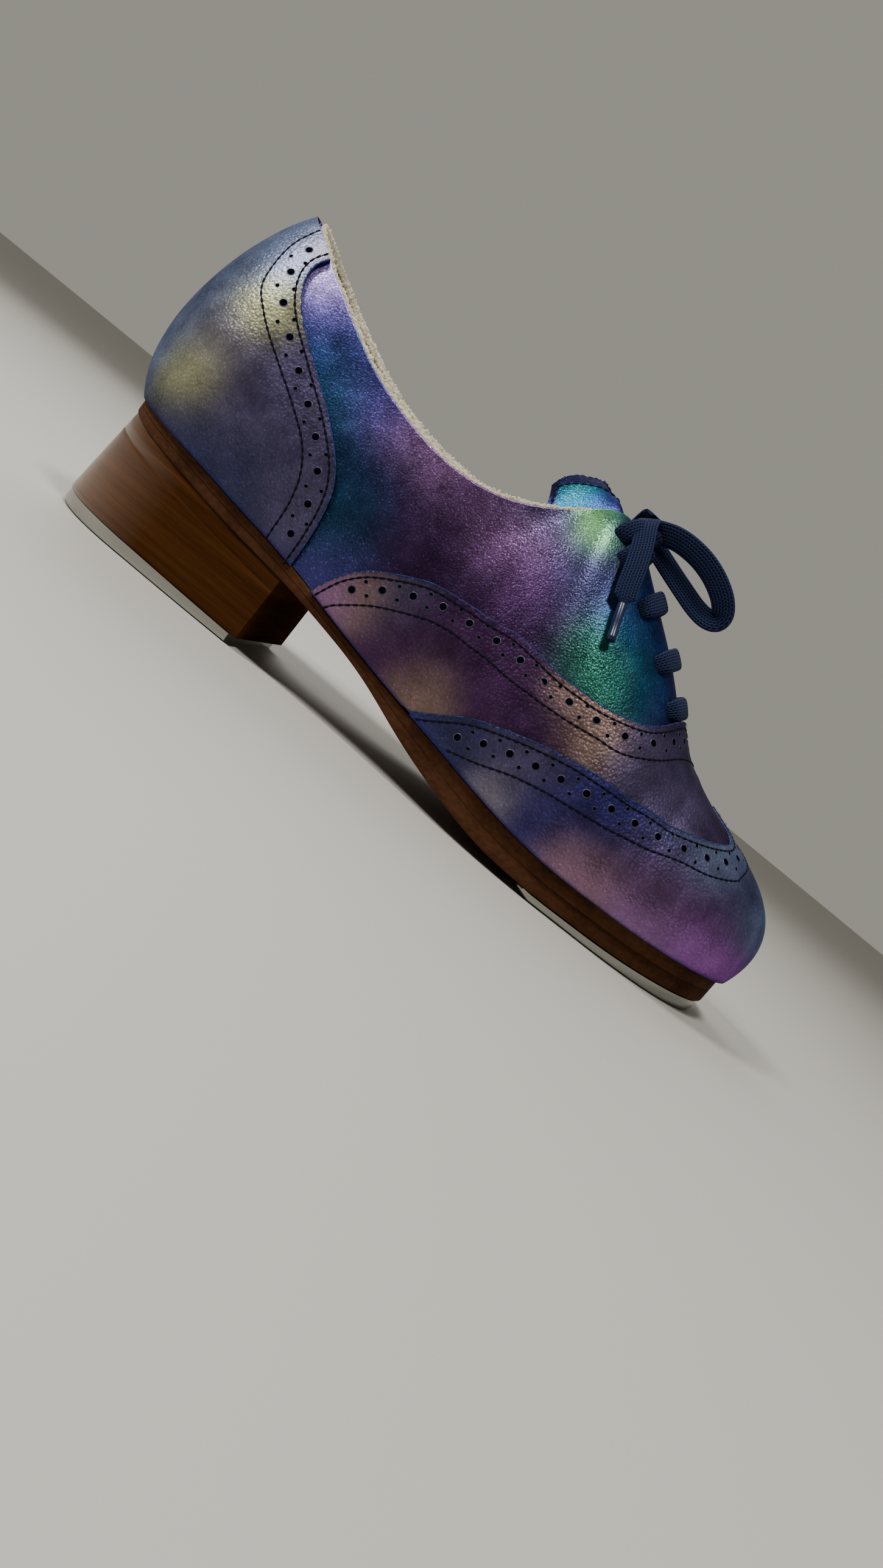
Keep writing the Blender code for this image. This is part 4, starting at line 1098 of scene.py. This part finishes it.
def tap_top(at):
    """Height of the heel tap's upper face, along the bottom of the heel."""
    back = HEEL_X - HEEL_TURN
    _, _, x, _, along, _ = plan(-at)
    x = x + (section("outer", at) * BALL_WIDTH + heel_grow(at, 1)) * along
    return HEEL_TAP_BACK + (HEEL_TAP_FRONT - HEEL_TAP_BACK) * (x - back) / (BREAST - back)


def capped(grid):
    """The rings with the first one shut towards its own middle."""
    first = grid[:1].mean(axis=1, keepdims=True) + 0 * grid[:1]
    return np.concatenate([first, grid], 0)


at = np.linspace(way_at(BREAST), 1, 150)
top, under = sole_under(at) + 0.00005, tap_top(at) + 0.00005
tall = top - under
groove = 1 - SEAT / tall.mean()
shares = (0.0, 0.010, 0.03, 0.25, 0.5, 0.75, groove - 0.008, groove, groove + 0.008, 0.93, 0.985, 1.0)
cut = (0.0003, 0.0001, 0, 0, 0, 0, 0, 0.0001, 0, 0, 0.0001, 0.0003)
rows = [(heel_grow(at, 1 - share) - less, under + share * tall) for share, less in zip(shares, cut)]
grid = capped(ringed(at, rows))
heel = show("heel", grid, quads(*grid.shape[:2], round_rows=True), wood, sharp=50, flip=True)
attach(heel, "root")
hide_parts("heel_block")

# Taps: polished alloy with fine scratches, rounded lower edges and three screws each.
TAP_CLEAR = 0.0008
TOE_TAP_BACK = 0.147
TAP_EDGE = 0.0010

alloy, tree, main = shader("tap_metal", (0.33, 0.33, 0.30), 0.24, 1.0)
place = node(tree, "TexCoord").outputs["Object"]
stretch = node(tree, "Mapping", {"Vector": place, "Scale": (60, 900, 900)}).outputs["Vector"]
marks = noise(tree, stretch, 1.2, 5)
gloss = ranged(tree, marks, (0, 1), (0.08, 0.34))
plug(tree, main, {"Roughness": gloss, "Normal": bump(tree, marks, 0.15, 0.0002)})

SCREWS = (
    (-0.0260, 0.0), (0.0200, -0.01703), (0.0200, 0.01703),
    (0.1580, -0.02202), (0.1580, 0.02804), (0.20199, 0.00404),
)
SCREW_HEAD = 0.0046
drills = []
for number, (x, y) in enumerate(SCREWS):
    spin = np.linspace(0, 2 * np.pi, 32, endpoint=False)
    radius = SCREW_HEAD / 2 + GAP
    ring = np.stack([x + radius * np.cos(spin), y + radius * np.sin(spin), 0 * spin], -1)
    levels = np.array((-0.01, 0.01))
    body = ring[None] + np.array((0, 0, 1)) * levels[:, None, None]
    ends = body.mean(axis=1, keepdims=True) + 0 * body
    tube = np.concatenate([ends[:1], body, ends[1:]])
    drills.append(show(f"drill_{number}", tube, quads(4, 32, round_rows=True), alloy))


def tap_rows(edge, top):
    """Rings' rows of a tap with a rounded lower edge."""
    return [(edge - 1.6 * TAP_EDGE, 0 * top), (edge - 0.8 * TAP_EDGE, 0 * top + 0.12 * TAP_EDGE),
            (edge - 0.3 * TAP_EDGE, 0 * top + 0.5 * TAP_EDGE), (edge, 0 * top + 1.4 * TAP_EDGE),
            (edge, top - 0.0002), (edge - 0.0002, top)]


def drilled(thing, cutters):
    """Cut round holes through the piece, and turn its faces outwards."""
    for cutter in cutters:
        cut = thing.modifiers.new(cutter.name, "BOOLEAN")
        cut.operation = "DIFFERENCE"
        cut.solver = "EXACT"
        cut.object = cutter
    bpy.context.view_layer.update()
    done = thing.evaluated_get(bpy.context.evaluated_depsgraph_get())
    mesh = bpy.data.meshes.new_from_object(done)
    thing.modifiers.clear()
    thing.data = mesh
    mesh.flip_normals()
    mesh.set_sharp_from_angle(angle=math.radians(40))


at = np.linspace(way_at(BREAST - 0.0025), 1, 110)
top = tap_top(at)
edge = heel_grow(at, 1) - TAP_CLEAR / 2
grid = capped(ringed(at, tap_rows(edge, top)))
heel_tap = show("heel_tap_plate", grid, quads(*grid.shape[:2], round_rows=True), alloy)
drilled(heel_tap, drills[:3])
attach(heel_tap, "root")
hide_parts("heel_tap")

last = way_at(TOE_TAP_BACK)
at = np.linspace(0, last, 130)[::-1]
corner = np.clip(1 - (last - at) * HALF_WAY / 0.006, 0, 1)
edge = SOLE_PROUD - TAP_CLEAR - 0.0030 * corner ** 2
top = sole_under(at) - GAP
grid = capped(ringed(at, tap_rows(edge, top)))
toe_tap = show("toe_tap_plate", grid, quads(*grid.shape[:2], round_rows=True)[:, ::-1], alloy)
drilled(toe_tap, drills[3:])
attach(toe_tap, "root")
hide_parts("toe_tap")
for drill in drills:
    bpy.data.objects.remove(drill)

screw_look, tree, main = shader("screw_steel", (0.42, 0.41, 0.39), 0.35, 1.0)
for tap in ("heel_tap", "toe_tap"):
    for number in (1, 2, 3):
        screw = nodes[f"{tap}_screw_{number}"]
        screw.data.materials.clear()
        screw.data.materials.append(screw_look)

# Lace: flat navy cotton, braided; bars across the slot, then the knot and bow.
lace_look, tree, main = shader("lace_cotton", (0.014, 0.022, 0.075), 0.92)

# herringbone: slanting ribs in narrow columns that lean by turns to the left and to the right
weave = node(tree, "UVMap", uv_map="lace").outputs["UV"]
split = node(tree, "SeparateXYZ", {"Vector": weave})
slant = reckon(tree, "PINGPONG", split.outputs["Y"], 0.9)
phase = reckon(tree, "ADD", split.outputs["X"], reckon(tree, "MULTIPLY", slant, 0.9))
rib = reckon(tree, "SINE", reckon(tree, "MULTIPLY", phase, 6.3))
seam = reckon(tree, "COSINE", reckon(tree, "MULTIPLY", slant, 7.0))
height = reckon(tree, "ADD", reckon(tree, "MULTIPLY", rib, 0.35), reckon(tree, "MULTIPLY", seam, -0.40))
woven = reckon(tree, "ADD", height, noise(tree, weave, 5, 5))
colour = two_tone(tree, woven, 0.15, (0.0015, 0.0025, 0.009), 0.95, (0.020, 0.034, 0.105))
plug(tree, main, {"Base Color": colour, "Normal": bump(tree, woven, 0.7, 0.0003),
                  "Specular IOR Level": 0.15, "Sheen Weight": 0.06, "Sheen Roughness": 0.4,
                  "Sheen Tint": (0.4, 0.5, 1.0, 1)})

LACE_WIDTH = 0.0070
LACE_THICK = 0.0016


def ribbon(name, route, broadside, width, thick, taper=None):
    """A flat lace along a route; broadside points along its width at each of its places.

    Its UV is in millimetres: along the lace and across it.
    """
    ahead = heading(route)
    across = broadside - (broadside * ahead).sum(1, keepdims=True) * ahead
    across /= np.linalg.norm(across, axis=1, keepdims=True)
    normal = np.cross(ahead, across)
    spin = np.linspace(0, 2 * np.pi, 20, endpoint=False)
    flat = np.sign(np.cos(spin)) * np.abs(np.cos(spin)) ** 0.55
    thin = np.sign(np.sin(spin)) * np.abs(np.sin(spin)) ** 0.75
    size = np.ones(len(route)) if taper is None else taper
    size = size.copy()
    size[[0, -1]] *= 0.3
    body = (route[:, None] + across[:, None] * (flat * width / 2)[None, :, None] * size[:, None, None]
            + normal[:, None] * (thin * thick / 2)[None, :, None] * np.sqrt(size)[:, None, None])
    made = show(name, body, quads(*body.shape[:2], round_rows=True), lace_look, flip=True)
    run = run_along(route) * 1000
    over = np.abs(flat)[None, :] * np.sign(flat) * width * 500
    uv = np.stack(np.broadcast_arrays(run[:, None], over), -1)
    layer = made.data.uv_layers.new(name="lace")
    corner = np.zeros(len(made.data.loops), int)
    made.data.loops.foreach_get("vertex_index", corner)
    layer.data.foreach_set("uv", uv.reshape(-1, 2)[corner].ravel())
    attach(made, "root")
    return made


BARS_AT = (0.291, 0.330, 0.379, 0.425)
BAR_REACH = 0.262       # share of the wall's height from the ridge down to where the lace goes in
BAR_WIDTH, BAR_THICK = 0.0070, 0.0029
ROOT_WIDTH, ROOT_THICK = 0.0058, 0.0026
ROOT = (
    # share of the way, up, height over the wall
    (0.447, 0.80, -0.0020), (0.446, 0.83, 0.0012), (0.442, 0.88, 0.0024), (0.437, 0.95, 0.0028),
)
share = np.linspace(-1, 1, 61)
for number, place_at in enumerate(BARS_AT, 1):
    down = BAR_REACH * np.abs(share)
    sides = np.where(share < 0, -1.0, 1.0)
    at = place_at - 0.005 + 0.011 * share ** 2
    dip = np.clip((np.abs(share) - 0.86) / 0.14, 0, 1) ** 2
    lift = 0.0011 + 0.0005 * (1 - share ** 2) - 0.0046 * dip
    route = wall(sides * at, 1 - down) + outward(sides * at, 1 - down) * lift[:, None]
    knots = route[[20, 24, 30, 36, 40]]
    knots[1:4, 2] += (0.0001, 0.0002, 0.0001)
    route[20:41] = smooth(knots, 5)
    ahead = wall(sides * (at - 0.004), 1 - down) - wall(sides * (at + 0.004), 1 - down)
    narrow = 1 - 0.30 * np.clip((np.abs(share) - 0.78) / 0.22, 0, 1)
    bar = ribbon(f"lace_row_{number}", route, ahead, BAR_WIDTH, BAR_THICK, taper=narrow)
    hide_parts(f"lace_bar_{number}")
for name, side in (("outer", -1), ("inner", 1)):
    line = smooth(np.array(ROOT) * (side, 1, 1), 8)
    route = wall(line[:, 0], line[:, 1]) + outward(line[:, 0], line[:, 1]) * line[:, 2:]
    ahead = wall(line[:, 0] - 0.004, line[:, 1]) - wall(line[:, 0] + 0.004, line[:, 1])
    ribbon(f"lace_root_{name}", route, ahead, ROOT_WIDTH, ROOT_THICK)

KNOT_PLACE = np.array((0.1114, -0.0005, 0.1056))
# Bow: places and the way of the lace's width at each
LOOP_FRONT = np.array((
    (0.1103, 0.0000, 0.1074), (0.1183, -0.0020, 0.1102), (0.1262, -0.0030, 0.1104),
    (0.1336, -0.0030, 0.1088), (0.1403, -0.0028, 0.1055), (0.1440, -0.0020, 0.1019),
    (0.1444, -0.0010, 0.0991), (0.1418, 0.0000, 0.0977), (0.1369, 0.0010, 0.0981),
    (0.1291, 0.0012, 0.1003), (0.1214, 0.0014, 0.1027), (0.1150, 0.0012, 0.1048),
))
LOOP_INNER = np.array((
    (0.1090, 0.0066, 0.1125, 1, 0, 0), (0.1080, 0.0110, 0.1115, 1, 0, 0),
    (0.1066, 0.0190, 0.1052, 1, 0, 0), (0.1055, 0.0270, 0.0960, 1, 0, 0),
    (0.1052, 0.0320, 0.0850, 1, 0.3, 0), (0.1070, 0.0340, 0.0760, 0.8, 0.6, 0),
    (0.1100, 0.0340, 0.0760, 0.8, 0.6, 0), (0.1125, 0.0315, 0.0850, 1, 0.3, 0),
    (0.1122, 0.0250, 0.0950, 1, 0, 0), (0.1118, 0.0185, 0.1030, 1, 0, 0),
    (0.1112, 0.0115, 0.1085, 1, 0, 0), (0.1104, 0.0070, 0.1098, 1, 0, 0),
))
END_OUTER = np.array((
    (0.1122, 0.0035, 0.1062, 0.77, 0, 0.63), (0.1107, 0.0008, 0.1082, 0.77, 0, 0.63),
    (0.1090, -0.0042, 0.1091, 0.82, 0, 0.57), (0.1093, -0.0094, 0.1065, 0.90, 0, 0.40),
    (0.1122, -0.0143, 0.1008, 1, 0.1, 0.3), (0.1148, -0.0186, 0.0943, 1, 0.1, 0.3),
    (0.1168, -0.0216, 0.0883, 1, 0.1, 0.3), (0.1187, -0.0238, 0.0834, 1, 0.1, 0.3),
))
END_INNER = np.array((
    (0.1135, 0.0050, 0.1072, 1, -0.3, 0.2), (0.1130, 0.0110, 0.1035, 1, -0.3, 0.2),
    (0.1150, 0.0170, 0.0980, 1, -0.3, 0.2), (0.1202, 0.0218, 0.0908, 1, -0.3, 0.2),
    (0.1262, 0.0250, 0.0830, 1, -0.3, 0.2),
))
AGLET = 0.0028
AGLET_LENGTH = 0.0125

aglet_look, tree, main = shader("aglet_plastic", (0.010, 0.018, 0.060), 0.30)
main.inputs["Specular IOR Level"].default_value = 0.3
main.inputs["Coat Weight"].default_value = 0.15
main.inputs["Coat Roughness"].default_value = 0.08


flat = 0.93 * np.cross(heading(LOOP_FRONT), (0, 1, 0)) + np.array((0, -0.30, 0))
for name, table in (("front", np.hstack([LOOP_FRONT, flat])), ("inner", LOOP_INNER)):
    line = smooth(table, 8)
    narrow = np.linspace(1.1, 0.95, len(line))
    piece = ribbon(f"bow_loop_{name}", line[:, :3], line[:, 3:], LACE_WIDTH, LACE_THICK, taper=narrow)
    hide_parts(f"lace_loop_{name}")

for name, table in (("outer", END_OUTER), ("inner", END_INNER)):
    ahead = table[-1, :3] - table[-2, :3]
    ahead = ahead / np.linalg.norm(ahead)
    start = table[-1, :3] + ahead * GAP
    tip = start + ahead * AGLET_LENGTH
    free = smooth(table, 8)
    held = np.linspace(free[-1, :3], tip - ahead * 0.001, 12)[1:]
    line = np.concatenate([free[:, :3], held])
    broad = np.concatenate([free[:, 3:], np.broadcast_to(free[-1, 3:], held.shape)])
    taper = np.ones(len(line))
    taper[len(free) - 3:] = np.linspace(0.75, 0.30, 3).tolist() + [0.30] * len(held)
    piece = ribbon(f"bow_end_{name}", line, broad, LACE_WIDTH, LACE_THICK, taper=taper)
    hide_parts(f"lace_end_{name}")
    along = np.array((0.0, 0.01, 0.04, 0.5, 0.86, 0.89, 0.97, 1.0))
    radius = np.array((0.6, 0.92, 1.0, 0.97, 0.97, 1.06, 1.06, 0.85)) * AGLET / 2
    spin = np.linspace(0, 2 * np.pi, 24, endpoint=False)
    side = np.cross(ahead, (0, 0, 1.0))
    side /= np.linalg.norm(side)
    other = np.cross(ahead, side)
    centre = start + along[:, None] * ahead * AGLET_LENGTH
    ring = np.cos(spin)[:, None] * side + np.sin(spin)[:, None] * other
    body = centre[:, None] + radius[:, None, None] * ring
    body = np.concatenate([centre[:1, None] + 0 * body[:1], body, centre[-1:, None] + 0 * body[:1]])
    aglet = show(f"aglet_tube_{name}", body, quads(*body.shape[:2], round_rows=True), aglet_look,
                 sharp=50, flip=True)
    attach(aglet, "root")
    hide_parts(f"aglet_{name}")

# Knot: two turns of the lace drawn tight over the top bar, the second across the first.
spin = np.linspace(0, 2 * np.pi, 60)
rise = 0.0022 * np.sin(spin)
turn_one = KNOT_PLACE + np.stack([0.0034 * np.cos(spin), 0.0010 * np.sin(2 * spin), rise], -1)
broad = np.broadcast_to(np.array((0.1, 1.0, 0.15)), turn_one.shape)
knot = ribbon("knot_turn", turn_one, broad, 0.0072, 0.0020)
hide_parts("lace_knot")
turn_two = KNOT_PLACE + np.stack([0.0006 * np.cos(spin), 0.0040 * np.cos(spin), rise], -1)
broad = np.broadcast_to(np.array((1.0, 0.1, 0.1)), turn_two.shape)
ribbon("knot_cross", turn_two, broad, 0.0066, 0.0019)

size = {"cad": [list(cad_low), list(cad_high)], "visual": [list(v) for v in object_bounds()]}
